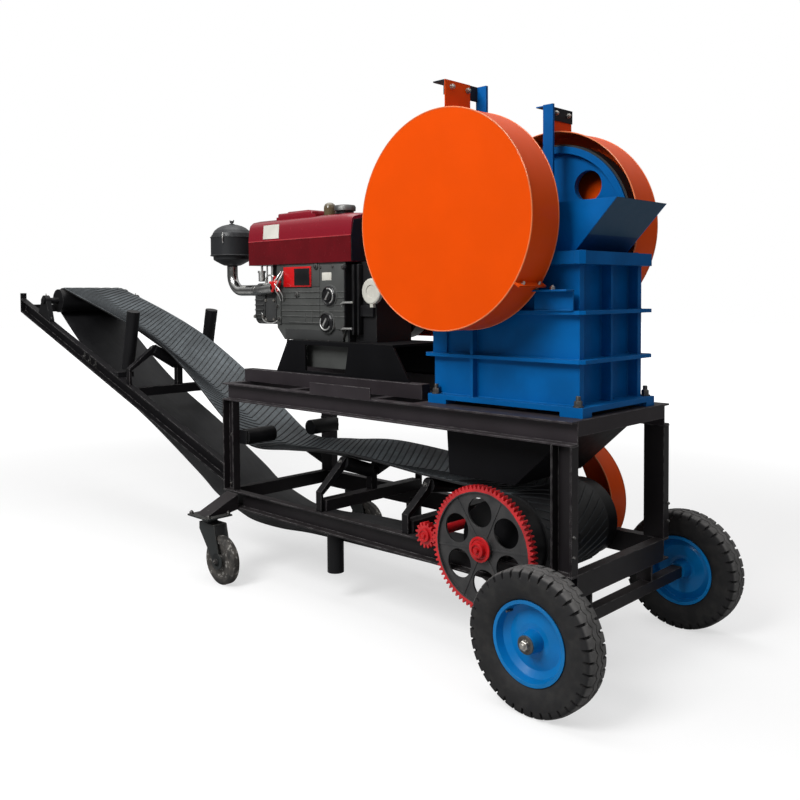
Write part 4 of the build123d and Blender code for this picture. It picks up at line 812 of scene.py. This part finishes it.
# Crusher body
# Thick plate welded into a box, with flat ribs round it at three heights, sprayed one strong
# blue. The jaws inside are bare manganese steel.
crusher_paint = paint(
    "crusher_paint", (0.0005, 0.118, 0.385), (0.06, 0.2, 0.4), (0.02, 0.17, 0.42), gloss=0.34,
    dust=0.3, wear=0.35, coat=0.06, shine=0.08
)
dress("crusher_near_wall crusher_far_wall crusher_front_wall crusher_rear_wall", crusher_paint)
dress("hopper_side_plates near_flywheel far_flywheel", crusher_paint)
# The hopper's front plate faces downward and is painted as shade: a dark navy copy of the crusher
# blue, with a slate-grey part above 1.862 m that is a painted reflection.
hopper_plate_shade_and_reflection = paint(
    "hopper_plate_shade_and_reflection", (0.001, 0.03, 0.11), (0.16, 0.18, 0.2), (0.05, 0.08, 0.11), gloss=0.42, dust=0.3,
    split=(2, 1.862, (0.022, 0.068, 0.125))
)
dress("hopper_front_plate", hopper_plate_shade_and_reflection)
jaw_steel = metal("jaw_steel", (0.3, 0.28, 0.26), 0.5, streak=30.0, grease=0.7)
dress("fixed_jaw swing_jaw toggle_plate eccentric_shaft", jaw_steel)

wall_y, front_y, foot_y = 0.255, 0.223, 0.279
wall_rear, wall_front = 1.605, 2.398
plate_x = wall_front - 0.05
base_top, flange_under = 1.15, 1.738
rib_edges, post_edges, front_edges = (1.327, 1.343, 1.53, 1.546), (1.848, 1.864), (-0.008, 0.008)
shape = bmesh.new()
for side in (-1, 1):
    wall, edge = side * wall_y, side * front_y
    for height in (*rib_edges, flange_under):
        add_weld(shape, (wall_rear, wall, height), (wall_front, wall, height))
    add_weld(shape, (wall_rear, wall, base_top), (wall_front, wall, base_top), 0.005)
    for x in post_edges:
        add_weld(shape, (x, wall, base_top), (x, wall, flange_under))
    for height in (base_top, *rib_edges[1::2]):
        add_weld(shape, (wall_front, edge, height), (plate_x, edge, height))
    for y in (edge, *front_edges):
        add_weld(shape, (plate_x, y, base_top), (plate_x, y, flange_under))
welds = settle("crusher_welds", shape, crusher_paint)
shape = bmesh.new()
for side in (-1, 1):
    for x in (wall_rear + 0.03, wall_front + 0.008):
        spot = Vector((x, side * foot_y, base_top))
        add_turned(shape, [(0.022, 0.0), (0.022, 0.005)], spot, (0, 0, 1), 24)
        add_hex(shape, spot + Vector((0, 0, 0.005)), (0, 0, 1), 0.03, 0.022)
        stud = [(0.0105, 0.024), (0.0105, 0.044), (0.009, 0.046)]
        add_turned(shape, stud, spot, (0, 0, 1), 16)
settle("base_bolts", shape, dark_steel)
shape = bmesh.new()
add_block(shape, (2.205, -0.302, 1.546), (2.395, -0.294, 1.632))
add_block(shape, (2.205, -0.352, 1.626), (2.395, -0.294, 1.634))
add_weld(shape, (2.21, -0.303, 1.548), (2.39, -0.303, 1.548))
lug = settle("guard_lug", shape, crusher_paint)


# Guards
# Thin sheet rolled into a drum over the near flywheel and a tapering case over the far one and
# its belts, sprayed glossy orange. The edges are rolled over a wire, and each case hangs by a tab
# from a dark angle on the crusher.
guard_paint = paint(
    "guard_paint", (0.75, 0.07, 0.001), (0.85, 0.25, 0.1), (0.8, 0.2, 0.06), gloss=0.28, dust=0.1,
    wear=0.3, coat=0.02, peel=0.02, cloudy=0.95, shine=0.08
)
dress("near_flywheel_guard far_belt_guard lower_belt_guard", guard_paint)
hanger_paint = paint(
    "hanger_paint", (0.001, 0.105, 0.37), (0.1, 0.15, 0.2), (0.04, 0.06, 0.08), gloss=0.36,
    dust=0.3, split=(1, 0.27, (0.018, 0.02, 0.024)), shine=0.1
)
dress("guard_hangers", hanger_paint)


def add_bead(shape, x, z, radius, y, start=0.0, end=360.0):
    """A wired edge round a guard's rim, as a whole ring or from one angle to another."""
    whole = end - start > 359
    count = round((end - start) / 3)
    angles = [math.radians(start + (end - start) * part / count) for part in range(count + 1)]
    points = [(x + radius * math.cos(turn), y, z + radius * math.sin(turn)) for turn in angles]
    add_tube(shape, points[:-1] if whole else points, 0.0035, 8, closed=whole)


guard_low, guard_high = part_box("near_flywheel_guard")
hood = middle_of("near_flywheel")[0]
hood_x, hood_z = hood.x, hood.z
hood_radius = hood_z - guard_low.z
bead_radius = hood_radius - 0.001
near_edges = (guard_low.y + 0.002, guard_high.y - 0.002)
shape = bmesh.new()
for y in near_edges:
    add_bead(shape, hood_x, hood_z, bead_radius, y)
for y in reversed(near_edges):
    add_bead(shape, hood_x, hood_z, bead_radius, -y, -70.0, 115.0)
cover_low, cover_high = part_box("lower_belt_guard")
cover_x, cover_z, cover_radius = 1.826, 0.575, 0.338
for y in (cover_low.y + 0.002, cover_high.y - 0.002):
    add_bead(shape, cover_x, cover_z, cover_radius - 0.001, y, -39.0, 89.0)
# The wired edges are painted paler than the guards, partly worn paint and partly a painted
# highlight along the rims.
bead_paint_with_highlight = paint(
    "bead_paint_with_highlight", (0.86, 0.2, 0.06), (0.85, 0.45, 0.3), (0.8, 0.3, 0.12), gloss=0.25, dust=0.1,
    wear=0.6, coat=0.3
)
beads = settle("guard_beads", shape, bead_paint_with_highlight)

seam = Matrix.Rotation(math.radians(35.0), 3, "Y")
shape = bmesh.new()
bolts = bmesh.new()
seam_x = hood_x + hood_radius
for low_z, high_z in ((0.0012, 0.0042), (-0.0042, -0.0012)):
    add_block(
        shape, (seam_x - 0.003, guard_low.y, hood_z + low_z),
        (seam_x + 0.03, guard_high.y, hood_z + high_z), 0.0008
    )
for y in (guard_low.y + 0.04, guard_high.y - 0.04):
    add_bolt(bolts, (seam_x + 0.015, y, hood_z + 0.0042), (0, 0, 1), 0.014)
for made in (shape, bolts):
    bmesh.ops.rotate(made, cent=(hood_x, 0, hood_z), matrix=seam, verts=made.verts)
flange = settle("guard_seam", shape, guard_paint)
for x in (2.232, 2.314):
    add_bolt(bolts, (x, -0.328, 1.634), (0, 0, 1), 0.02)
tab_z = guard_high.z - 0.028
for y, tab_x in ((-0.453, 1.881), (-0.345, 1.881), (0.345, 1.883), (0.453, 1.883)):
    add_bolt(bolts, (tab_x, y, tab_z), (1, 0, 0), 0.02)
settle("guard_bolts", bolts, bare_steel)


# Engine
# A single-cylinder diesel lying on its stand: a ribbed grey crankcase with two bolted covers, a
# black pump end, and the cylinder head at the rear with its pipes and a red hand lever.
engine_paint = paint(
    "engine_paint", (0.076, 0.079, 0.076), (0.2, 0.2, 0.19), (0.1, 0.1, 0.095), gloss=0.42,
    dust=0.3, wear=0.6, peel=0.15, split=(0, 0.888, (0.012, 0.012, 0.013))
)
dress("engine_block", engine_paint)
head_paint = paint(
    "head_paint", (0.045, 0.046, 0.046), (0.2, 0.2, 0.19), (0.09, 0.09, 0.085), gloss=0.42,
    dust=0.3, wear=0.8, peel=0.2
)
dress("cylinder_head", head_paint)
engine_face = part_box("engine_block")[0].y


def add_panel(shape, x_span, z_span, proud, round_off=0.002, face=engine_face):
    """A raised flat on the engine's near face."""
    low = (x_span[0], face - proud, z_span[0])
    add_block(shape, low, (x_span[1], face + 0.004, z_span[1]), round_off)


def add_boss(shape, x, z, profile, face=engine_face, steps=32):
    """A turned boss on the engine's near face."""
    add_turned(shape, profile, (x, face, z), (0, -1, 0), steps)


fin_half, fin_round = 0.003, 0.0015
shape = bmesh.new()
for x_span, z_span, proud, round_off in (
    ((0.345, 0.682), (1.452, 1.658), 0.006, 0.003),
    ((0.69, 0.893), (1.428, 1.784), 0.012, 0.006),
    ((0.306, 0.342), (1.446, 1.66), 0.01, 0.004),
    ((0.372, 0.68), (1.664, 1.79), 0.004, 0.003),
):
    add_panel(shape, x_span, z_span, proud, round_off)
for height in (1.634, 1.602, 1.564, 1.528, 1.497):
    z_span = (height - fin_half, height + fin_half)
    add_panel(shape, (0.348, 0.681), z_span, 0.011, fin_round)
    add_panel(shape, (0.692, 0.891), z_span, 0.0155, fin_round)
add_panel(shape, (0.415, 0.681), (1.459, 1.465), 0.011, fin_round)
for x in (0.56, 0.617):
    add_panel(shape, (x - fin_half, x + fin_half), (1.456, 1.527), 0.01, fin_round)
knob_places = ((0.775, 1.612), (0.752, 1.466))
for x, height in knob_places:
    add_boss(shape, x, height, [(0.062, 0.0), (0.062, 0.016), (0.055, 0.019)])
boss_places = ((0.332, 1.481), (0.319, 1.553), (0.494, 1.617), (0.656, 1.776), (0.887, 1.766))
for x, height in boss_places:
    add_boss(shape, x, height, [(0.016, 0.0), (0.016, 0.013), (0.013, 0.015)], steps=20)
casting = settle("engine_casting", shape, engine_paint)


def add_heads(shape, places, face, across, height):
    """Bolt heads on a near face of the engine."""
    for x, z in places:
        add_hex(shape, (x, face, z), (0, -1, 0), across, height)


shape = bmesh.new()
add_heads(shape, boss_places, engine_face - 0.014, 0.017, 0.01)
cover_places = ((0.703, 1.442), (0.812, 1.44), (0.883, 1.448), (0.7, 1.77), (0.8, 1.772))
add_heads(shape, cover_places, engine_face - 0.011, 0.013, 0.008)
for x in (0.4, 0.571, 0.752, 0.84):
    add_bolt(shape, (x, engine_face - 0.003, 1.366), (0, 0, -1), 0.013)
settle("engine_bolts", shape, dark_steel)

black_paint = paint(
    "black_paint", (0.009, 0.009, 0.01), (0.1, 0.1, 0.1), (0.03, 0.03, 0.03), gloss=0.3, dust=0.2,
    coat=0.2
)
pump_face = -0.1
shape = bmesh.new()
knob = [
    (0.055, 0.01), (0.055, 0.024), (0.048, 0.029), (0.043, 0.022), (0.028, 0.022), (0.025, 0.031)
]
for x, height in knob_places:
    add_boss(shape, x, height, knob)
for x, deep in ((0.903, 0.03), (0.926, 0.05), (0.95, 0.036)):
    add_panel(shape, (x - 0.008, x + 0.008), (1.4, 1.782), deep, 0.004, pump_face)
add_panel(shape, (0.9, 1.05), (1.5, 1.56), 0.02, 0.004, pump_face)
add_panel(shape, (0.475, 0.606), (1.673, 1.768), 0.0155, 0.001)
settle("engine_knobs", shape, black_paint)

silver = metal("silver", (0.72, 0.72, 0.7), 0.26, grease=0.2)
shape = bmesh.new()
ring_radius = 0.041
for (x, height), (first, last) in zip(knob_places, ((-70, 100), (150, 330))):
    turns = [math.radians(first + (last - first) * part / 10) for part in range(11)]
    middle = Vector((x, engine_face - 0.027, height))
    ring = [middle + ring_radius * Vector((math.cos(turn), 0, math.sin(turn))) for turn in turns]
    add_tube(shape, ring, 0.0045, 8)
    grip = Vector((x, engine_face - 0.031, height))
    add_tube(shape, [grip - Vector((0.016, 0, 0.02)), grip + Vector((0.013, 0, 0.022))], 0.006, 8)
for height in (1.576, 1.436):
    reach = [
        (0.872, 0.008, -0.02), (0.876, 0.018, -0.006), (0.892, 0.022, 0.0), (0.962, 0.022, 0.001)
    ]
    add_tube(shape, [(x, engine_face - out, height + up) for x, out, up in reach], 0.0065, 10)
for shift, sway in ((0.0, 0.018), (0.018, -0.012)):
    loop = [
        (0.372 - shift, engine_face - 0.012, 1.754),
        (0.362 + sway, engine_face - 0.032, 1.728),
        (0.345 + sway, engine_face - 0.046, 1.69),
        (0.362 - sway, engine_face - 0.046, 1.65),
        (0.374 - sway, engine_face - 0.03, 1.615),
        (0.35 + shift, engine_face - 0.012, 1.584),
    ]
    add_tube(shape, spline(loop, 0.008), 0.0042, 8)
feed_pipe = [(0.31, -0.15, 1.7), (0.25, -0.17, 1.735), (0.19, -0.16, 1.72), (0.17, -0.15, 1.66)]
add_tube(shape, spline(feed_pipe, 0.01), 0.005, 8)
drain = [(0.3, -0.155, 1.47), (0.24, -0.165, 1.452), (0.16, -0.16, 1.47), (0.13, -0.148, 1.53)]
add_tube(shape, spline(drain, 0.01), 0.0045, 8)
filter_bowl = [(0.014, 0.0), (0.02, 0.004), (0.02, 0.05), (0.024, 0.052), (0.024, 0.064)]
add_turned(shape, filter_bowl, (0.135, -0.15, 1.7), (0, 0, 1))
for x, low_z, wide in ((0.135, 1.76, 0.007), (0.185, 1.67, 0.005), (0.235, 1.67, 0.009)):
    add_tube(shape, [(x, -0.148, low_z), (x, -0.148, 1.802)], wide, 10)
settle("engine_pipes", shape, silver)

hand_red = paint(
    "hand_red", (0.62, 0.006, 0.008), (0.5, 0.15, 0.12), (0.5, 0.06, 0.06), gloss=0.3, dust=0.1,
    wear=0.4, coat=0.4
)
shape = bmesh.new()
lever = Vector((0.325, engine_face - 0.012, 1.679))
add_turned(
    shape, [(0.012, 0.04), (0.026, 0.034), (0.028, 0.018), (0.02, 0.0)], lever, (0.3, -1, 0), 20
)
spokes = lever + Vector((0, -0.022, 0))
for turn in range(20, 380, 72):
    out = Vector((math.cos(math.radians(turn)), 0, math.sin(math.radians(turn))))
    add_tube(shape, [spokes, spokes + out * 0.05], [0.011, 0.008], 10)
add_panel(shape, (0.374, 0.614), (1.664, 1.779), 0.012, 0.0015)
settle("red_lever", shape, hand_red)

pale_paint = paint(
    "pale_paint", (0.68, 0.67, 0.6), (0.4, 0.39, 0.35), (0.5, 0.48, 0.42), gloss=0.4, dust=0.2,
    wear=0.4
)
shape = bmesh.new()
add_panel(shape, (0.712, 0.79), (1.697, 1.741), 0.0135, 0.0008)
dial = [
    (0.069, 0.0), (0.069, 0.022), (0.062, 0.027), (0.034, 0.027), (0.032, 0.023), (0.012, 0.023)
]
add_boss(shape, 1.04, 1.635, dial, pump_face, 48)
add_panel(shape, (1.028, 1.052), (1.548, 1.58), 0.022, 0.004, pump_face)
settle("pump_cover", shape, pale_paint)

shape = bmesh.new()
head_low, head_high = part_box("cylinder_head")
head_face = head_low.y
add_panel(shape, (head_low.x + 0.012, 0.165), (1.475, 1.662), 0.014, 0.008, head_face)
add_panel(shape, (0.182, 0.285), (1.462, 1.6), 0.024, 0.01, head_face)
for height in (1.5, 1.53, 1.56, 1.59):
    z_span = (height - 0.004, height + 0.004)
    add_panel(shape, (head_low.x + 0.02, 0.158), z_span, 0.022, 0.002, head_face)
for x, y, wide in (
    (0.12, -0.02, 0.03), (0.205, -0.06, 0.022), (0.262, 0.03, 0.034), (0.24, -0.11, 0.014)
):
    stub = [(wide, -0.005), (wide, 0.11), (0.8 * wide, 0.12)]
    add_turned(shape, stub, (x, y, head_high.z), (0, 0, 1), 20)
# A thin dark-grey strip along the foot of the crankcase is painted shade under its set-back lower
# edge.
add_panel(shape, (0.375, 0.868), (1.364, 1.424), 0.002, 0.001)
head_bolts = bmesh.new()
cover_corners = ((0.078, 1.49), (0.156, 1.49), (0.078, 1.648), (0.156, 1.648))
add_heads(head_bolts, cover_corners, head_face - 0.014, 0.018, 0.012)
port_corners = ((0.196, 1.476), (0.272, 1.476), (0.196, 1.588), (0.272, 1.588))
add_heads(head_bolts, port_corners, head_face - 0.024, 0.015, 0.01)
settle("head_castings_and_crankcase_shade", shape, head_paint)
shape = bmesh.new()
inlet = [
    (0.02, -0.12, 1.648), (0.06, -0.124, 1.648), (0.12, -0.15, 1.65), (0.19, -0.164, 1.655),
    (0.275, -0.166, 1.662)
]
add_tube(shape, spline(inlet, 0.012), 0.0335, 24)
inlet_steel = metal("inlet_steel", (0.52, 0.52, 0.51), 0.16, streak=40.0, grease=0.25)
settle("inlet_pipe", shape, inlet_steel)
settle("head_bolts", head_bolts, bare_steel)


# Fuel tank
# Two pressings seamed round the middle and sprayed dark red, with a lid over the water hopper, a
# brown glass breather and a steel filler cap. Its sticker is bare.
tank_low, tank_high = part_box("fuel_tank")
seam_z = 1.937
# Past the seam, the upper pressing leans up towards the light and is painted a brighter red than
# the lower one, as painted light.
tank_paint = paint(
    "tank_paint", (0.13, 0.003, 0.007), (0.3, 0.05, 0.05), (0.36, 0.04, 0.05), gloss=0.2, dust=0.15,
    wear=0.2, coat=0.5, peel=0.02, split=(2, seam_z, (0.215, 0.006, 0.016))
)
dress("fuel_tank", tank_paint)
shape = bmesh.new()
rim = [
    (tank_low.x, tank_low.y), (tank_high.x, tank_low.y), (tank_high.x, tank_high.y),
    (tank_low.x, tank_high.y)
]
add_tube(shape, [(x, y, seam_z) for x, y in rim], 0.0035, 8, closed=True)
# The seam bead is painted a lighter red than the tank, as a painted highlight along the seam.
seam_red_with_highlight = paint(
    "seam_red_with_highlight", (0.42, 0.02, 0.03), (0.5, 0.2, 0.2), (0.4, 0.08, 0.08), gloss=0.25, dust=0.2,
    wear=0.4, coat=0.4
)
settle("tank_seam", shape, seam_red_with_highlight)

shape = bmesh.new()
half_wide = (tank_high.y - tank_low.y) / 2
tank_middle = (tank_high.y + tank_low.y) / 2
press_z = 1.936
crown = [
    (1.0, 0.0), (0.99, 0.039), (0.965, 0.082), (0.93, 0.104), (0.84, 0.118), (0.55, 0.13),
    (0.0, 0.136)
]
section = crown + [(-share, rise) for share, rise in crown[-2::-1]]
rings = []
for x, draw in (
    (tank_low.x - 0.001, 0.9),
    (tank_low.x + 0.003, 0.96),
    (tank_low.x + 0.014, 1.0),
    (tank_high.x - 0.1, 1.0),
    (tank_high.x - 0.014, 0.95),
    (tank_high.x + 0.001, 0.88),
):
    wide = half_wide * (0.97 + 0.03 * draw)
    wall = [(tank_middle - share * wide, press_z + rise * draw) for share, rise in section]
    rings.append([(x, y, z) for y, z in wall])
add_rings(shape, rings)
add_block(shape, (0.255, -0.12, 2.05), (0.565, 0.105, 2.098), 0.008)
add_block(shape, (0.31, -0.09, 2.09), (0.5, 0.07, 2.108), 0.006)
top = settle("tank_top", shape, tank_paint, sharp=50.0)

shape = bmesh.new()
sticker = [(0.188, 1.948), (0.334, 1.948), (0.334, 2.03), (0.188, 2.03)]
press_lean = 0.006 / 0.08
rings = []
for out in (0.0005, 0.0022):
    rings.append([(x, tank_low.y + (z - seam_z) * press_lean - out, z) for x, z in sticker])
add_rings(shape, rings)
settle("tank_sticker", shape, pale_paint)

shape = bmesh.new()
# A black sheet over the tank's front end is painted shade; the black sleeve round the filler neck
# is part of the same piece.
end = [
    (tank_low.y + 0.003, 1.8), (tank_low.y + 0.002, seam_z), (tank_low.y + 0.02, 2.02),
    (0.002, 2.05), (tank_high.y - 0.02, 2.02), (tank_high.y - 0.002, seam_z),
    (tank_high.y - 0.003, 1.8)
]
end_faces = (tank_high.x - 0.002, tank_high.x + 0.004)
add_rings(shape, [[(x, y, z) for y, z in end] for x in end_faces])
neck = Vector((0.775, -0.06, 2.112))
add_turned(shape, [(0.0497, -0.064), (0.0497, -0.016)], neck, (0, 0, 1), 40)
settle("tank_end_shade_and_neck", shape, black_paint)

shape = bmesh.new()
filler = [
    (0.05, -0.03), (0.06, -0.03), (0.061, -0.01), (0.056, 0.0), (0.03, 0.004), (0.012, 0.004)
]
add_turned(shape, filler, neck, (0, 0, 1), 48)
add_bolt(shape, (0.222, -0.05, 2.064), (0, 0, 1), 0.018)
cap_steel = metal("cap_steel", (0.2, 0.2, 0.195), 0.4)
settle("filler_cap", shape, cap_steel)
shape = bmesh.new()
breather = [
    (0.034, -0.09), (0.034, -0.03), (0.033, -0.018), (0.027, -0.006), (0.015, 0.002), (0.005, 0.004)
]
add_turned(shape, breather, (0.65, -0.06, 2.134), (0, 0, 1), 32)
brown_glass = paint(
    "brown_glass", (0.11, 0.085, 0.045), (0.3, 0.28, 0.2), (0.3, 0.27, 0.2), gloss=0.12, wear=0.3,
    coat=0.8, peel=0.0
)
settle("tank_breather", shape, brown_glass)


# Air cleaner
# A pressed oil-bath bowl under a domed cap, clipped together at a rolled rim and held down by a
# wing nut, on a bent steel pipe to the cylinder head.
def cleaner_finish():
    """Black enamel on the cleaner and, below it, the polished steel of its bent pipe."""
    material, place, shader = new_finish("cleaner_finish", {"Specular IOR Level": 0.3})
    smear = noise(place, 24.0, 5.0)
    enamel = coordinate(place, 2).rise(1.795, 1.797)
    steel = smear.rise(0.3, 0.7).over((0.42, 0.42, 0.41), (0.6, 0.6, 0.58))
    black = smear.rise(0.3, 0.7).over((0.02, 0.021, 0.023), (0.034, 0.035, 0.037))
    rough = 0.14 + 0.16 * enamel + 0.12 * smear
    base = enamel.over(steel, black)
    feed(shader, {"Base Color": base, "Metallic": 1 - enamel, "Roughness": rough})
    return material


dress("air_cleaner", cleaner_finish())
dress("engine_flywheel", black_paint)
bowl_x, bowl_y, rim_radius = -0.205, -0.12, 0.133
bowl_rim, bowl_foot = 1.981, 1.868
shape = bmesh.new()
for height in (bowl_rim, bowl_foot):
    middle = Vector((bowl_x, bowl_y, height))
    ring = ring_round(middle, Vector((1, 0, 0)), Vector((0, 1, 0)), rim_radius, 60)
    add_tube(shape, ring, 0.0035, 8, closed=True)
wing_nut = Vector((bowl_x, bowl_y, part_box("air_cleaner")[1].z))
nut = [(0.02, -0.006), (0.018, 0.002), (0.007, 0.004), (0.007, 0.02), (0.005, 0.022)]
add_turned(shape, nut, wing_nut, (0, 0, 1), 20)
for side in (-1, 1):
    wing = [(0.0, 0.01), (side * 0.014, 0.012), (side * 0.02, 0.026)]
    add_tube(shape, [wing_nut + Vector((out, 0, up)) for out, up in wing], [0.005, 0.005, 0.003], 8)
bowl = [
    (0.126, 1.982), (0.1325, 1.978), (0.1325, 1.868), (0.128, 1.864), (0.118, 1.862),
    (0.116, 1.842), (0.108, 1.836), (0.07, 1.815), (0.05, 1.806)
]
add_turned(shape, bowl, (bowl_x, bowl_y, 0), (0, 0, 1), 60)
cleaner_black = paint(
    "cleaner_black", (0.022, 0.023, 0.025), (0.15, 0.15, 0.15), (0.06, 0.06, 0.06), gloss=0.34,
    dust=0.4, wear=0.6
)
settle("cleaner_trim", shape, cleaner_black)
shape = bmesh.new()
for turn in (-150, -60, 30, 120):
    out = Vector((math.cos(math.radians(turn)), math.sin(math.radians(turn)), 0))
    clip = [(0.134, 0.022), (0.14, 0.012), (0.14, -0.028), (0.134, -0.04)]
    points = [Vector((bowl_x, bowl_y, bowl_rim + up)) + out * reach for reach, up in clip]
    add_tube(shape, points, 0.0035, 8)
settle("cleaner_clips", shape, silver)


# Drive belts
# Moulded rubber V-belts inside the far case, from the engine's flywheel to the crusher's and down
# to the countershaft. Their flanks are shiny black.
dress("drive_belts", belt_rubber("drive_rubber", (0.012, 0.012, 0.012), (0.04, 0.04, 0.04), 0.4))


# Camera
# A phone held at eye height, off the feed end's corner, with the picture cut to a square below
# the lens axis.
camera_data = bpy.data.cameras.new("camera")
camera_data.sensor_width = 36.0
camera_data.lens = 39.45
camera_data.shift_x = 0.0233
camera_data.shift_y = -0.0898
camera = bpy.data.objects.new("camera", camera_data)
camera.location = (4.3572, -3.3878, 1.6203)
camera.rotation_euler = (math.radians(87.772), math.radians(0.394), math.radians(44.776))
bpy.context.scene.collection.objects.link(camera)
bpy.context.scene.camera = camera


# Studio
# A pale floor that shades off to white, a wide soft lamp from the near side and weaker ones from
# the feed end and from above.
floor_shape = bmesh.new()
bmesh.ops.create_grid(floor_shape, x_segments=1, y_segments=1, size=40.0)
floor_mesh = bpy.data.meshes.new("floor")
floor_shape.to_mesh(floor_mesh)
floor_shape.free()
floor = bpy.data.objects.new("floor", floor_mesh)
bpy.context.scene.collection.objects.link(floor)
floor_fixed = {
    "Base Color": (0.42, 0.42, 0.42, 1.0),
    "Roughness": 0.9,
    "Specular IOR Level": 0.1,
    "Emission Strength": 1.0,
}
floor_finish, place, shader = new_finish("floor_finish", floor_fixed)
away = place.node("VectorMath", {"operation": "LENGTH"}, {0: place}, 1)
glow = (0.6 + 0.45 * away.rise(3.2, 9.0)) * place.node("LightPath", output=0)
feed(shader, {"Emission Color": glow.node("CombineColor", {}, {part: glow for part in range(3)})})
floor_mesh.materials.append(floor_finish)

world = bpy.data.worlds.new("studio")
bpy.context.scene.world = world
world.use_nodes = True
sky = Signal(world.node_tree)
height = coordinate(sky.node("TexCoord", output=0), 2)
white = sky.node("LightPath", output=0) + sky.node("LightPath", output=6)
gleam = sky.node("LightPath", output=3) * (0.1 + 0.75 * height.rise(0.05, 0.8))
soft = (1 - white - sky.node("LightPath", output=3)) * (0.1 + 0.3 * height.rise(-0.1, 0.7))
background = world.node_tree.nodes["Background"]
world.node_tree.links.new((white + gleam + soft).socket, background.inputs["Strength"])
background.inputs["Color"].default_value = (1.0, 1.0, 1.0, 1.0)

for name, place, target, size, power in (
    ("key_lamp", (1.4, -6.0, 5.8), (0.6, 0.0, 1.0), 3.4, 480.0),
    ("feed_lamp", (7.0, 0.5, 5.0), (1.0, 0.0, 1.2), 4.0, 20.0),
    ("top_lamp", (0.0, 0.0, 7.0), (0.0, 0.0, 0.0), 5.0, 190.0),
):
    lamp_data = bpy.data.lights.new(name, "AREA")
    lamp_data.size = size
    lamp_data.energy = power
    lamp = bpy.data.objects.new(name, lamp_data)
    lamp.location = place
    lamp.rotation_euler = (Vector(target) - Vector(place)).to_track_quat("-Z", "Y").to_euler()
    bpy.context.scene.collection.objects.link(lamp)

bpy.context.scene.view_settings.view_transform = "Standard"
